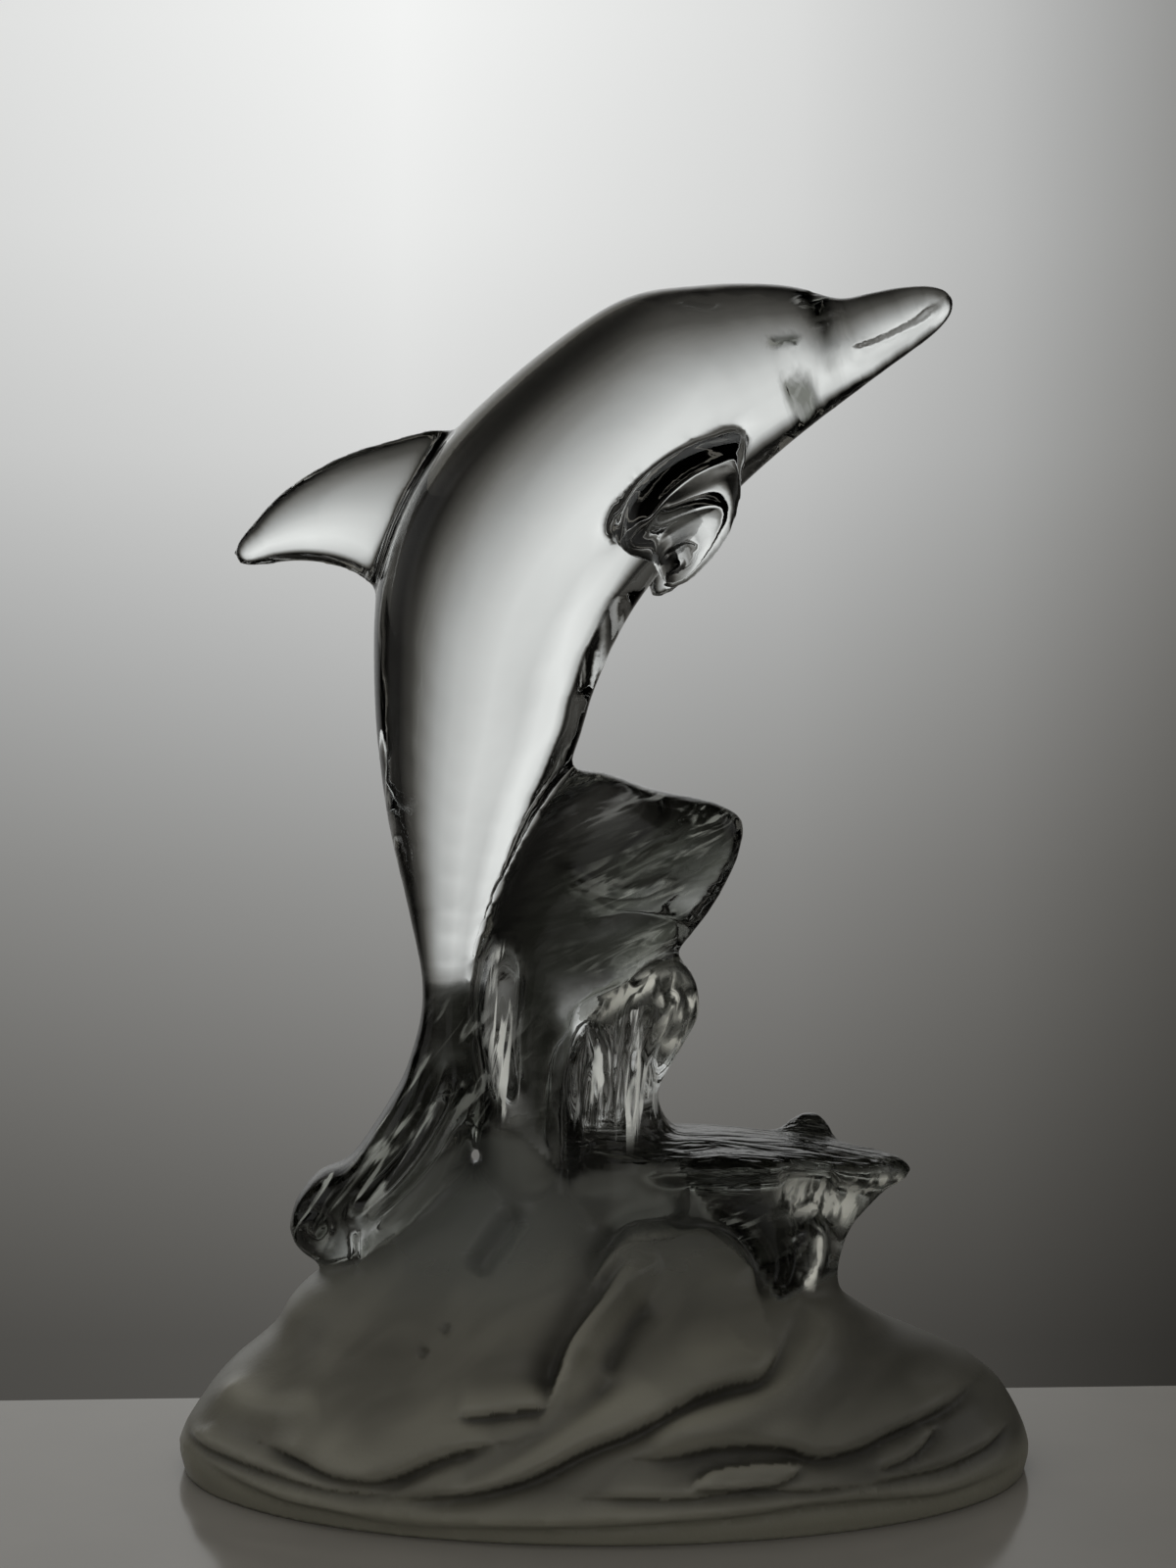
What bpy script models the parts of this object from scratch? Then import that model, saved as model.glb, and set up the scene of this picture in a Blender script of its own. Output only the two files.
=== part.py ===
"""A dolphin figurine of clear moulded glass, leaping out of a curling wave on a satin oval base.

It is one casting, so it is one solid. The body, fins, wave and mound are shaped one by one,
melted together at their joins, carved with the folds of the water and cut flat under the foot.
Sizes are millimetres, turned into metres where a point is set. The dolphin looks along +X,
its back faces -X and up, and the front of the figurine faces -Y.
"""

import math

import bmesh
import bpy
import numpy as np
from mathutils import Vector

MM = 0.001

# From the foot to the top of the head, and the base: an oval mound of swirling water.
HEIGHT = 200.0
BASE_WIDTH = 145.0
BASE_DEPTH = 74.0
BASE_HEIGHT = 53.0
# The same two heights as the rows below are drawn for. The dolphin and the wave share what is left
# above the base, so a taller figurine leaps higher out of the same base.
DRAWN_HEIGHT = 200.0
DRAWN_BASE = 53.0
SPARE_BELOW = 5.0  # cut away again, so that the foot is flat to its edge
FOOT_SHARE = 0.975  # the rim overhangs the foot a little

# The leaping body, from the tip of the beak over the brow and down to the tail stock: each row is
# a point on the back, a point on the belly and half the width.
BODY = [
    ((58.4, 199.2), (59.8, 195.4), 2.9),
    ((55.4, 200.0), (57.4, 192.4), 4.3),
    ((50.2, 199.6), (53.0, 189.0), 5.4),
    ((44.6, 198.5), (48.4, 185.7), 6.0),
    ((39.8, 197.5), (44.6, 182.9), 7.0),
    ((34.6, 199.0), (41.0, 180.2), 10.4),
    ((27.6, 199.9), (36.7, 177.0), 13.2),
    ((16.4, 199.6), (30.4, 171.9), 15.3),
    ((2.0, 196.8), (24.0, 166.2), 17.2),
    ((-16.2, 183.9), (14.1, 156.4), 18.2),
    ((-30.8, 168.6), (4.8, 144.4), 17.8),
    ((-38.2, 151.7), (-1.3, 131.8), 16.6),
    ((-39.3, 131.5), (-5.0, 120.4), 14.6),
    ((-37.3, 111.0), (-10.8, 110.0), 12.0),
    ((-33.4, 93.3), (-18.0, 93.5), 8.8),
    ((-31.2, 82.2), (-21.6, 82.0), 6.6),
    ((-31.6, 74.3), (-20.5, 71.5), 7.0),
    ((-34.4, 65.1), (-18.4, 57.4), 8.6),
]
# The fin on the back: leading edge, trailing edge and half the thickness.
DORSAL_FIN = [
    ((-17.5, 172.0), (-31.0, 144.0), 6.0),
    ((-27.2, 175.6), (-38.5, 148.2), 5.2),
    ((-36.0, 173.9), (-44.6, 151.6), 4.6),
    ((-45.5, 170.8), (-51.6, 152.8), 4.0),
    ((-54.2, 165.6), (-57.6, 152.3), 3.3),
    ((-60.4, 159.2), (-61.6, 152.0), 2.6),
    ((-63.1, 155.6), (-63.0, 153.0), 1.8),
]
# The near side fin: front edge, rear edge, how far out it stands and half its thickness.
SIDE_FIN = [
    ((23.8, 174.6), (2.4, 162.4), 8.0, 5.5),
    ((23.4, 170.6), (0.6, 156.4), 15.0, 4.6),
    ((22.4, 165.2), (3.0, 151.8), 19.5, 3.6),
    ((21.3, 158.6), (6.6, 150.2), 23.5, 3.0),
    ((18.9, 153.3), (8.0, 147.6), 26.5, 2.6),
    ((14.9, 148.6), (8.9, 145.2), 28.5, 2.1),
]
# The far side fin is carried a little higher and closer.
FAR_FIN_RISE = 4.0
FAR_FIN_REACH = 0.92
# The tall breaking crest that carries the body.
CREST = [
    ((-21.0, 44.0), (-5.0, 44.0), 12.0),
    ((-21.0, 62.0), (-6.8, 62.0), 11.5),
    ((-22.6, 79.0), (-3.4, 73.5), 11.0),
    ((-21.6, 94.0), (5.6, 80.6), 10.5),
    ((-14.6, 109.5), (12.4, 86.4), 10.0),
    ((-4.2, 117.4), (18.2, 93.4), 9.5),
    ((8.6, 114.2), (22.0, 100.2), 8.0),
    ((17.6, 112.4), (23.4, 104.0), 5.5),
    ((21.4, 111.0), (24.0, 107.0), 3.2),
]
# The second, smaller curl under the crest.
CURL = [
    ((-9.0, 42.0), (15.4, 42.0), 15.0),
    ((-8.0, 55.0), (12.2, 55.0), 13.0),
    ((-7.4, 63.0), (9.2, 62.0), 11.5),
    ((-5.0, 70.0), (12.6, 69.0), 11.0),
    ((-1.0, 76.5), (16.2, 75.5), 10.0),
    ((3.4, 82.5), (16.0, 80.8), 8.0),
    ((8.0, 86.4), (14.0, 84.6), 4.5),
]
# The flat tongue of water that runs out to the right: upper edge, lower edge, half its width.
TONGUE = [
    ((-8.0, 52.0), (-8.0, 44.0), 9.0),
    ((6.0, 55.8), (6.0, 47.0), 14.0),
    ((17.0, 56.2), (17.0, 48.2), 16.0),
    ((26.0, 55.5), (26.0, 48.4), 15.0),
    ((35.0, 54.5), (34.6, 48.2), 12.5),
    ((43.0, 53.2), (42.6, 46.9), 9.5),
    ((48.5, 52.2), (48.2, 46.6), 6.5),
    ((51.8, 51.0), (51.9, 48.0), 3.2),
]
# The neck that carries the tongue, from the top down: left edge, right edge, half its depth.
NECK = [
    ((4.0, 51.0), (47.0, 50.0), 7.0),
    ((6.0, 47.0), (48.4, 46.4), 6.5),
    ((8.0, 44.0), (45.6, 43.2), 7.2),
    ((10.0, 40.0), (42.4, 39.6), 8.0),
    ((12.0, 35.0), (40.6, 35.0), 9.0),
    ((14.0, 30.0), (40.0, 30.4), 10.5),
    ((17.0, 24.0), (42.0, 24.0), 12.0),
]
# A small wave that looks over the tongue from behind.
WAVELET = [
    ((28.5, 50.0), (41.5, 49.0), 3.8),
    ((31.4, 55.4), (40.2, 54.4), 3.2),
    ((34.8, 57.8), (38.4, 57.2), 2.2),
]
WAVELET_BACK = 7.5
# The sweep of water down to the left, and the scroll at its end.
SWEEP = [
    ((-26.5, 74.0), (-20.5, 70.0), 5.0),
    ((-31.5, 70.0), (-20.5, 60.0), 8.0),
    ((-37.4, 60.2), (-25.0, 47.0), 11.0),
    ((-43.6, 51.6), (-33.0, 38.0), 12.0),
    ((-48.8, 49.2), (-40.5, 34.0), 10.0),
    ((-52.6, 44.6), (-46.0, 33.0), 7.4),
    ((-53.8, 39.8), (-50.0, 34.6), 4.6),
]
# Height of the mound against how far out it is, as a share, on the right and on the left.
RIGHT_SLOPE = [
    (0.0, 53.0), (0.2, 46.0), (0.29, 39.0), (0.38, 33.5), (0.47, 30.0), (0.56, 28.4), (0.61, 26.0),
    (0.67, 23.2), (0.77, 20.6), (0.87, 17.4), (0.93, 14.2), (0.965, 10.2), (0.99, 6.2), (1.0, 3.4),
]
LEFT_SLOPE = [
    (0.0, 53.0), (0.2, 52.0), (0.4, 48.5), (0.5, 42.5), (0.58, 36.0), (0.70, 30.8), (0.745, 27.4),
    (0.77, 23.6), (0.82, 20.4), (0.87, 17.6), (0.92, 13.8), (0.96, 9.6), (0.988, 6.4), (1.0, 4.0),
]

# Where the front is drawn from: the folds are lines seen from this point on the middle plane.
EYE_OUT = 315.0
EYE_ACROSS = -2.7
EYE_UP = 115.0

# Folds carved in the water: height (below 0 is a groove), half width to the left of the line, half
# width to its right, and the line. Where the right half width is 0 the fold is the same on both
# sides. Where it isn't, the left is a lip of water that lies over the right.
BASE_FOLDS = [
    (2.0, 7.0, 2.0, [
        (-58.0, 2.5), (-51.5, -0.5), (-46.5, -3.0), (-41.0, -4.0), (-36.0, -3.5), (-30.0, -1.0),
        (-24.0, 1.0), (-18.0, 2.5),
    ]),
    (2.4, 4.0, 4.0, [(4.0, 33.0), (2.5, 31.0), (-1.0, 26.0), (-5.5, 20.0), (-7.5, 15.0), (-9.5, 9.0)]),
    (1.3, 4.0, 1.8, [(-25.0, 6.5), (-18.0, 7.5), (-14.0, 8.0), (-9.5, 8.5)]),
    (-1.3, 2.0, 0, [
        (4.0, 14.0), (-0.5, 11.0), (-4.5, 7.5), (-9.5, 4.0), (-15.0, 0.5), (-21.5, -3.0),
        (-28.5, -5.5),
    ]),
    (2.4, 7.0, 1.9, [
        (-36.0, -7.0), (-25.0, -6.5), (-17.5, -5.0), (-11.5, -3.0), (-2.5, 1.5), (4.0, 4.0),
        (10.0, 7.0), (16.0, 10.5), (22.0, 12.5), (26.5, 13.5), (29.0, 16.5), (31.0, 21.0),
    ]),
    (3.0, 7.5, 3.0, [
        (27.0, 26.0), (25.5, 31.0), (23.0, 35.5), (19.5, 38.0), (14.5, 39.0), (9.5, 39.0),
        (4.0, 37.5), (0.0, 33.5), (-2.5, 29.5),
    ]),
    (1.5, 2.0, 0, [(10.0, 33.0), (5.0, 29.5), (0.5, 24.5), (-2.5, 20.0), (-5.0, 15.0)]),
    (-1.2, 2.0, 0, [(8.5, 26.5), (5.0, 22.5), (2.0, 17.5), (0.5, 13.5)]),
    (1.8, 2.8, 0, [
        (35.0, 27.0), (37.5, 21.0), (35.0, 16.0), (31.5, 11.5), (26.5, 8.0), (19.5, 5.5),
        (12.5, 4.0), (7.5, 1.5),
    ]),
    (1.7, 5.0, 1.6, [
        (6.0, 0.0), (11.0, 0.0), (18.0, 1.5), (24.5, 2.0), (31.5, 1.5), (36.5, 0.0), (43.5, 1.5),
        (48.5, 4.0), (55.0, 7.0), (60.5, 10.5), (64.0, 14.0),
    ]),
    (1.0, 2.0, 1.2, [(34.5, -1.0), (29.5, -1.0), (23.0, -1.5), (18.0, -2.5), (14.5, -5.0)]),
    (1.0, 2.0, 1.2, [(14.5, -5.5), (26.5, -5.0), (31.5, -3.5), (34.5, -1.0)]),
    (1.4, 3.0, 1.4, [(46.5, -2.0), (51.0, -0.5), (54.5, 2.0), (57.0, 5.5)]),
    (1.4, 3.0, 1.4, [(45.0, -4.5), (52.0, -3.0), (58.5, -1.5), (65.5, 2.0), (69.5, 6.5)]),
    (1.1, 2.6, 1.3, [
        (-2.5, -7.0), (6.0, -7.0), (14.5, -7.0), (25.5, -5.5), (35.0, -5.5), (45.0, -4.5),
    ]),
    (1.2, 2.8, 1.4, [
        (-71.0, 1.5), (-64.0, -3.0), (-55.5, -7.0), (-47.0, -9.0), (-34.5, -11.5), (-21.5, -12.0),
        (-9.0, -12.0), (4.0, -11.5), (23.0, -10.0), (35.5, -8.0), (48.5, -7.0), (58.5, -6.0),
        (69.5, -1.5), (72.5, 2.0),
    ]),
    (1.3, 3.4, 1.5, [
        (-71.0, 6.5), (-69.5, 3.0), (-62.5, -0.5), (-55.5, -3.0), (-47.0, -5.5), (-36.0, -6.5),
    ]),
    (-2.4, 2.2, 0, [(-14.5, 43.0), (-17.0, 39.0), (-20.0, 35.0), (-22.5, 31.0)]),
    (1.2, 3.0, 0, [(-65.0, 14.0), (-61.5, 10.0), (-55.5, 8.0), (-47.5, 8.5)]),
]
WAVE_FOLDS = [
    (1.4, 2.2, 0.9, [
        (-8.5, 51.5), (-10.0, 55.0), (-9.5, 61.0), (-9.0, 66.5), (-8.0, 70.0), (-6.0, 73.0),
        (-5.0, 76.5), (-2.0, 79.0), (4.0, 81.5),
    ]),
    (1.0, 0.9, 0, [
        (-4.5, 57.0), (-5.0, 64.0), (-4.5, 70.5), (-2.5, 74.0), (-1.0, 70.5), (0.0, 65.5),
        (0.5, 58.5),
    ]),
    (1.0, 0.9, 0, [(2.0, 56.0), (2.5, 65.0), (3.5, 71.5), (4.5, 76.5), (6.0, 80.0)]),
    (1.0, 0.9, 0, [(4.0, 54.0), (5.0, 63.5), (6.0, 70.0), (8.0, 75.0), (10.0, 78.5)]),
    (1.7, 1.5, 0, [(-17.0, 87.0), (-19.0, 79.0), (-19.0, 72.0), (-17.5, 65.0), (-16.5, 59.5)]),
    (-1.5, 1.2, 0, [(-14.5, 85.0), (-15.0, 76.5), (-15.5, 70.0), (-14.5, 61.5)]),
    (-1.5, 1.4, 0, [
        (8.0, 74.0), (10.5, 79.0), (13.0, 80.5), (14.5, 78.5), (13.0, 74.0), (10.0, 69.0),
        (8.5, 62.5),
    ]),
    (-1.3, 1.3, 0, [(-26.5, 68.0), (-32.0, 57.0), (-38.5, 49.0), (-45.5, 42.5)]),
    (1.1, 1.2, 0, [(-24.5, 64.0), (-30.0, 54.0), (-36.0, 46.5), (-43.0, 40.5)]),
    (-1.3, 1.2, 0, [(-23.0, 59.0), (-28.5, 50.0), (-34.5, 43.5), (-41.0, 38.0)]),
    (-1.2, 0.9, 0, [
        (-52.6, 40.0), (-51.0, 42.2), (-48.4, 41.4), (-47.4, 38.8), (-49.2, 36.8), (-51.2, 38.2),
        (-50.2, 39.8),
    ]),
    (1.1, 1.1, 0, [(-41.5, 39.0), (-41.5, 31.0)]),
    (-2.2, 3.0, 0, [(30.0, 46.4), (35.0, 46.8), (40.5, 46.4)]),
    (-1.8, 2.2, 0, [(31.5, 41.2), (35.0, 41.4), (39.5, 41.8)]),
    (1.4, 1.4, 0, [(36.4, 43.0), (36.8, 38.0), (36.4, 33.0), (34.4, 28.5)]),
    (-1.2, 1.4, 0, [(32.6, 38.0), (32.8, 33.0), (31.0, 28.0)]),
]
HEAD_FOLDS = [
    (-0.8, 1.0, 0, [
        (58.0, 198.0), (56.0, 196.5), (53.0, 194.0), (47.5, 191.5), (42.0, 189.5), (37.0, 188.0),
        (34.0, 186.5), (32.6, 183.4),
    ]),
    (-0.9, 2.0, 0, [(36.0, 198.6), (37.0, 195.6), (38.4, 192.8)]),
]

# Between which heights each set of folds is carved.
BASE_REACH = (1.0, 56.0)
WAVE_REACH = (26.0, 118.0)
HEAD_REACH = (176.0, 202.0)

# How a fold's line is curved, how much of each end fades out and how steep a lip drops.
CURVE_STEPS = 5
FADE_SHARE = 0.14
LIP_SLOPE = 0.8

# How the joins are melted together and how fine the skin is.
SKIN_GRAIN = 1.25
MELT_PASSES = 5
SOFTENED_FOLDS = 2
MOST_TRIANGLES = 11400


def through(rows, place):
    """A smooth curve through the rows, at a place counted in rows."""
    last = len(rows) - 1
    first = min(int(place), last - 1)
    share = place - first
    before, start, end, after = (rows[min(max(first + k, 0), last)] for k in (-1, 0, 1, 2))
    bend = 2 * before - 5 * start + 4 * end - after
    twist = 3 * (start - end) + after - before
    return start + 0.5 * share * (end - before + share * (bend + share * twist))


def add_swept(shape, rows, rings, around, noses):
    """Adds a closed form whose rings pass through two edges and have half the thickness given."""
    ball = bmesh.ops.create_uvsphere(shape, u_segments=around, v_segments=rings + 1, radius=1.0)
    last = len(rows) - 1
    for vertex in ball["verts"]:
        ring = (rings + 1) * math.acos(max(-1.0, min(1.0, vertex.co.z))) / math.pi
        place = last * min(max((ring - 1) / (rings - 1), 0.0), 1.0)
        row = through(rows, place)
        step = through(rows, min(place + 0.05, last)) - through(rows, max(place - 0.05, 0.0))
        one_edge, other_edge, half = Vector(row[0:3]), Vector(row[3:6]), row[6]
        along = Vector(step[0:3] + step[3:6]).normalized()
        middle = (one_edge + other_edge) / 2
        across = (one_edge - other_edge) / 2
        side = across.cross(along).normalized() * half
        if ring < 0.5:
            vertex.co = (middle - along * noses[0]) * MM
        elif ring > rings + 0.5:
            vertex.co = (middle + along * noses[1]) * MM
        else:
            turn = math.atan2(vertex.co.y, vertex.co.x)
            vertex.co = (middle + across * math.cos(turn) + side * math.sin(turn)) * MM


def levels(height, base):
    """The heights between which what is drawn and what is made change places evenly."""
    return (-base, base, height, 2 * height - base)


def lifted(up):
    """How high something stands on the figurine, from its height in the drawing."""
    return np.interp(up, levels(DRAWN_HEIGHT, DRAWN_BASE), levels(HEIGHT, BASE_HEIGHT))


def as_drawn(up):
    """The other way: the height in the drawing of something on the figurine."""
    return np.interp(up, levels(HEIGHT, BASE_HEIGHT), levels(DRAWN_HEIGHT, DRAWN_BASE))


def flat_rows(stations, out=0.0):
    """Rows for a form whose edges lie in one upright plane, that far towards the back."""
    return np.array(
        [(a[0], out, lifted(a[1]), b[0], out, lifted(b[1]), half) for a, b, half in stations]
    )


def fin_rows(side):
    """Rows for a side fin, which stands out as it hangs down."""
    rise = FAR_FIN_RISE if side > 0 else 0.0
    reach = side * (FAR_FIN_REACH if side > 0 else 1.0)
    return np.array(
        [
            (a[0], reach * out, lifted(a[1] + rise), b[0], reach * out, lifted(b[1] + rise), half)
            for a, b, out, half in SIDE_FIN
        ]
    )


def add_dolphin(shape):
    """The body with its beak, the fin on the back and the two side fins."""
    add_swept(shape, flat_rows(BODY), 96, 48, (0.9, 0.0))
    add_swept(shape, flat_rows(DORSAL_FIN), 24, 36, (0.0, 0.7))
    for side in (-1, 1):
        add_swept(shape, fin_rows(side), 24, 32, (0.0, 0.8))


def add_wave(shape):
    """The crest, the curl under it, the tongue on its neck and the sweep to the left."""
    add_swept(shape, flat_rows(CREST), 40, 36, (0.0, 1.2))
    add_swept(shape, flat_rows(CURL), 32, 32, (0.0, 1.5))
    add_swept(shape, flat_rows(TONGUE), 32, 32, (0.0, 1.0))
    add_swept(shape, flat_rows(NECK), 24, 32, (0.0, 0.0))
    add_swept(shape, flat_rows(WAVELET, WAVELET_BACK), 12, 20, (0.0, 0.6))
    add_swept(shape, flat_rows(SWEEP), 32, 32, (0.0, 1.2))


def mound_height(out, turn):
    """Height of the mound at a share of the way out and a direction, in millimetres."""
    leftness = (1 - math.cos(turn)) / 2
    right = np.interp(out, *zip(*RIGHT_SLOPE))
    left = np.interp(out, *zip(*LEFT_SLOPE))
    return (right + (left - right) * leftness) * BASE_HEIGHT / RIGHT_SLOPE[0][1]


def add_mound(shape):
    """The oval mound of the base: the upper half of a ball becomes its slope, the lower its foot."""
    ball = bmesh.ops.create_uvsphere(shape, u_segments=112, v_segments=80, radius=1.0)
    for vertex in ball["verts"]:
        fall = math.acos(max(-1.0, min(1.0, vertex.co.z))) / (math.pi / 2)
        turn = math.atan2(vertex.co.y, vertex.co.x)
        out = fall if fall <= 1.0001 else (2.0 - fall) * FOOT_SHARE
        height = mound_height(out, turn) if fall <= 1.0001 else -SPARE_BELOW
        across = BASE_WIDTH / 2 * out * math.cos(turn)
        deep = BASE_DEPTH / 2 * out * math.sin(turn)
        vertex.co = Vector((across, deep, height)) * MM


def melted(shape):
    """One skin over all the forms, with their joins rounded as moulding leaves them."""
    mesh = bpy.data.meshes.new("forms")
    bmesh.ops.recalc_face_normals(shape, faces=shape.faces)
    shape.to_mesh(mesh)
    forms = bpy.data.objects.new("forms", mesh)
    bpy.context.scene.collection.objects.link(forms)
    skin = forms.modifiers.new("one skin", "REMESH")
    skin.mode = "VOXEL"
    skin.voxel_size = SKIN_GRAIN * MM
    melt = forms.modifiers.new("melted joins", "SMOOTH")
    melt.factor = 0.5
    melt.iterations = MELT_PASSES
    return finished(forms)


def finished(maker):
    """The mesh that an object's modifiers make, with the object itself cleared away."""
    graph = bpy.context.evaluated_depsgraph_get()
    mesh = bpy.data.meshes.new_from_object(maker.evaluated_get(graph))
    bpy.data.objects.remove(maker)
    return mesh


def beside_line(places, corners):
    """How far each place is from the line, on which side, and how far along it."""
    nearest = np.full(len(places), np.inf)
    side = np.ones(len(places))
    along = np.zeros(len(places))
    lengths = np.linalg.norm(np.diff(corners, axis=0), axis=1)
    begun = np.concatenate([[0.0], np.cumsum(lengths)]) / lengths.sum()
    for k, (start, end) in enumerate(zip(corners[:-1], corners[1:])):
        run = end - start
        from_start = places - start
        share = np.clip(from_start @ run / (run @ run), 0.0, 1.0)
        gap = np.linalg.norm(from_start - share[:, None] * run, axis=1)
        closer = gap < nearest
        nearest[closer] = gap[closer]
        side[closer] = np.sign(run[0] * from_start[closer, 1] - run[1] * from_start[closer, 0])
        along[closer] = (begun[k] + share * (begun[k + 1] - begun[k]))[closer]
    return nearest, side, along


def fold_height(places, fold):
    """How far a fold raises the skin at each place of the drawing. It fades out at both ends."""
    height, over, under, line = fold
    rows = np.array(line)
    steps = np.linspace(0, len(rows) - 1, CURVE_STEPS * (len(rows) - 1) + 1)
    gap, side, along = beside_line(places, np.array([through(rows, step) for step in steps]))
    fade = np.clip(np.minimum(along, 1.0 - along) / FADE_SHARE, 0.1, 1.0)
    if under:
        half = np.where(side > 0, over, under)
        profile = np.tanh(side * gap / LIP_SLOPE) * np.exp(-((gap / half) ** 2))
    else:
        profile = np.exp(-((gap / over) ** 2))
    return height * fade * profile


def drawn_places(points, side):
    """Where points are on the middle plane, seen from the front or, turned round, from the back."""
    grow = EYE_OUT / (EYE_OUT - side * points[:, 1])
    across = EYE_ACROSS + (points[:, 0] - EYE_ACROSS) * grow
    up = EYE_UP + (as_drawn(points[:, 2]) - EYE_UP) * grow
    return np.stack([across, up], axis=1)


def carve(mesh, folds, reach):
    """Raises ridges and cuts grooves along the drawn lines, front and back, within a height range."""
    count = len(mesh.vertices)
    points = np.empty(count * 3)
    mesh.vertices.foreach_get("co", points)
    points = points.reshape(-1, 3) / MM
    normals = np.empty(count * 3)
    mesh.vertex_normals.foreach_get("vector", normals)
    normals = normals.reshape(-1, 3)
    low, high = reach
    up = as_drawn(points[:, 2])
    within = np.clip((up - low) / 2, 0, 1) * np.clip((high - up) / 2, 0, 1)
    moved = np.zeros(count)
    for side in (1, -1):
        facing = np.clip(-side * normals[:, 1] * 2.2, 0.0, 1.0)
        seen = np.flatnonzero(facing * within > 0)
        places = drawn_places(points[seen], -side)
        for fold in folds:
            moved[seen] += facing[seen] * fold_height(places, fold)
    points += normals * (moved * within)[:, None]
    mesh.vertices.foreach_set("co", (points * MM).reshape(-1))
    mesh.update()


def thinned(mesh):
    """The same skin with its folds softened and with fewer faces, kept where it bends."""
    bearer = bpy.data.objects.new("skin", mesh)
    bpy.context.scene.collection.objects.link(bearer)
    mesh.update()
    triangles = sum(len(face.vertices) - 2 for face in mesh.polygons)
    worn = bearer.modifiers.new("softened folds", "SMOOTH")
    worn.factor = 0.5
    worn.iterations = SOFTENED_FOLDS
    fewer = bearer.modifiers.new("fewer faces", "DECIMATE")
    fewer.ratio = min(1.0, MOST_TRIANGLES / triangles)
    return finished(bearer)


def with_flat_foot(mesh):
    """Cuts the spare glass away under the foot and centres the base on the origin."""
    shape = bmesh.new()
    shape.from_mesh(mesh)
    everything = list(shape.verts) + list(shape.edges) + list(shape.faces)
    bmesh.ops.bisect_plane(
        shape, geom=everything, dist=1e-6, plane_co=(0, 0, 0), plane_no=(0, 0, 1), clear_inner=True
    )
    rim = [edge for edge in shape.edges if edge.is_boundary]
    bmesh.ops.contextual_create(shape, geom=rim)
    bmesh.ops.dissolve_degenerate(shape, dist=2e-5, edges=shape.edges)
    bmesh.ops.triangulate(shape, faces=shape.faces)
    bmesh.ops.recalc_face_normals(shape, faces=shape.faces)
    across = [vertex.co.x for vertex in shape.verts]
    deep = [vertex.co.y for vertex in shape.verts]
    middle = Vector((max(across) + min(across), max(deep) + min(deep), 0.0)) / 2
    bmesh.ops.translate(shape, verts=shape.verts, vec=-middle)
    shape.to_mesh(mesh)
    shape.free()


def clear_glass():
    """Clear moulded crystal glass."""
    material = bpy.data.materials.new("clear moulded glass")
    material.use_nodes = True
    shader = material.node_tree.nodes["Principled BSDF"]
    shader.inputs["Base Color"].default_value = (0.93, 0.95, 0.95, 1.0)
    shader.inputs["Roughness"].default_value = 0.05
    shader.inputs["IOR"].default_value = 1.52
    shader.inputs["Transmission Weight"].default_value = 1.0
    return material


for old in list(bpy.data.objects):
    bpy.data.objects.remove(old)

forms = bmesh.new()
add_dolphin(forms)
add_wave(forms)
add_mound(forms)
skin = melted(forms)
forms.free()
carve(skin, BASE_FOLDS, BASE_REACH)
carve(skin, WAVE_FOLDS, WAVE_REACH)
carve(skin, HEAD_FOLDS, HEAD_REACH)
skin = thinned(skin)
with_flat_foot(skin)

figurine = bpy.data.objects.new("dolphin_figurine", skin)
bpy.context.scene.collection.objects.link(figurine)
skin.materials.clear()
skin.materials.append(clear_glass())
for face in skin.polygons:
    face.use_smooth = True
print("triangles:", len(skin.polygons))
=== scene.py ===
# %% [markdown]
# A leaping dolphin of clear moulded glass. The whole figurine is one casting: a polished dolphin and
# wave over an oval mound of water whose skin was etched to a soft satin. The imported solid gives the
# place and the size; here the same casting is shaped again with a much finer skin, because clear
# glass shows every flat facet as a kink in what is seen through it.

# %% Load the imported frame
import math

import bmesh
import bpy
import numpy as np
from mathutils import Matrix, Vector


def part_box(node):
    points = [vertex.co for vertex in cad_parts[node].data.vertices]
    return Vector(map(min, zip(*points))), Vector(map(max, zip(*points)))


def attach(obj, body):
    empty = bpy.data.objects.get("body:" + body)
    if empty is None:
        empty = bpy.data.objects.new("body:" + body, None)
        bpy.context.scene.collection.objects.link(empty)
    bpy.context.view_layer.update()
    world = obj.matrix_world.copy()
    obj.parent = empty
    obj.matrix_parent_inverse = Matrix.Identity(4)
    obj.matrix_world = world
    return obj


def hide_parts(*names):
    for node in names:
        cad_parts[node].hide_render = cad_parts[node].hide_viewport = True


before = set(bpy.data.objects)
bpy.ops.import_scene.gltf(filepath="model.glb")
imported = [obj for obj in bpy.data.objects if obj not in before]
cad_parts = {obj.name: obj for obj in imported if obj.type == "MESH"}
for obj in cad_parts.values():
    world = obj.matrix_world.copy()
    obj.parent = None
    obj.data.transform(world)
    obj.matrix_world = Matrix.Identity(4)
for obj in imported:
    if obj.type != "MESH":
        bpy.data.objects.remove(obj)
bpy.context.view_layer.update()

MM = 0.001

# %% [markdown]
# The camera stands close to the figurine, level with the crest of the wave, and looks straight at
# its front. A short tele lens of 42 mm on the tall side of the frame gives the same perspective as
# the photograph: the front of the foot drops well below its two ends.

# %% Camera at the photograph's angle
EYE_OUT = 315.0
EYE_ACROSS = -2.7
EYE_UP = 115.0

lens = bpy.data.cameras.new("front_view")
lens.lens = 42.4
lens.sensor_width = 36.0
lens.clip_start = 0.01
camera = bpy.data.objects.new("front_view", lens)
camera.location = (EYE_ACROSS * MM, -EYE_OUT * MM, EYE_UP * MM)
camera.rotation_euler = (math.radians(90), 0, 0)
bpy.context.scene.collection.objects.link(camera)
bpy.context.scene.camera = camera
print("camera:", lens.lens, "mm lens,", EYE_OUT, "mm in front,", EYE_UP, "mm up")

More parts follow.
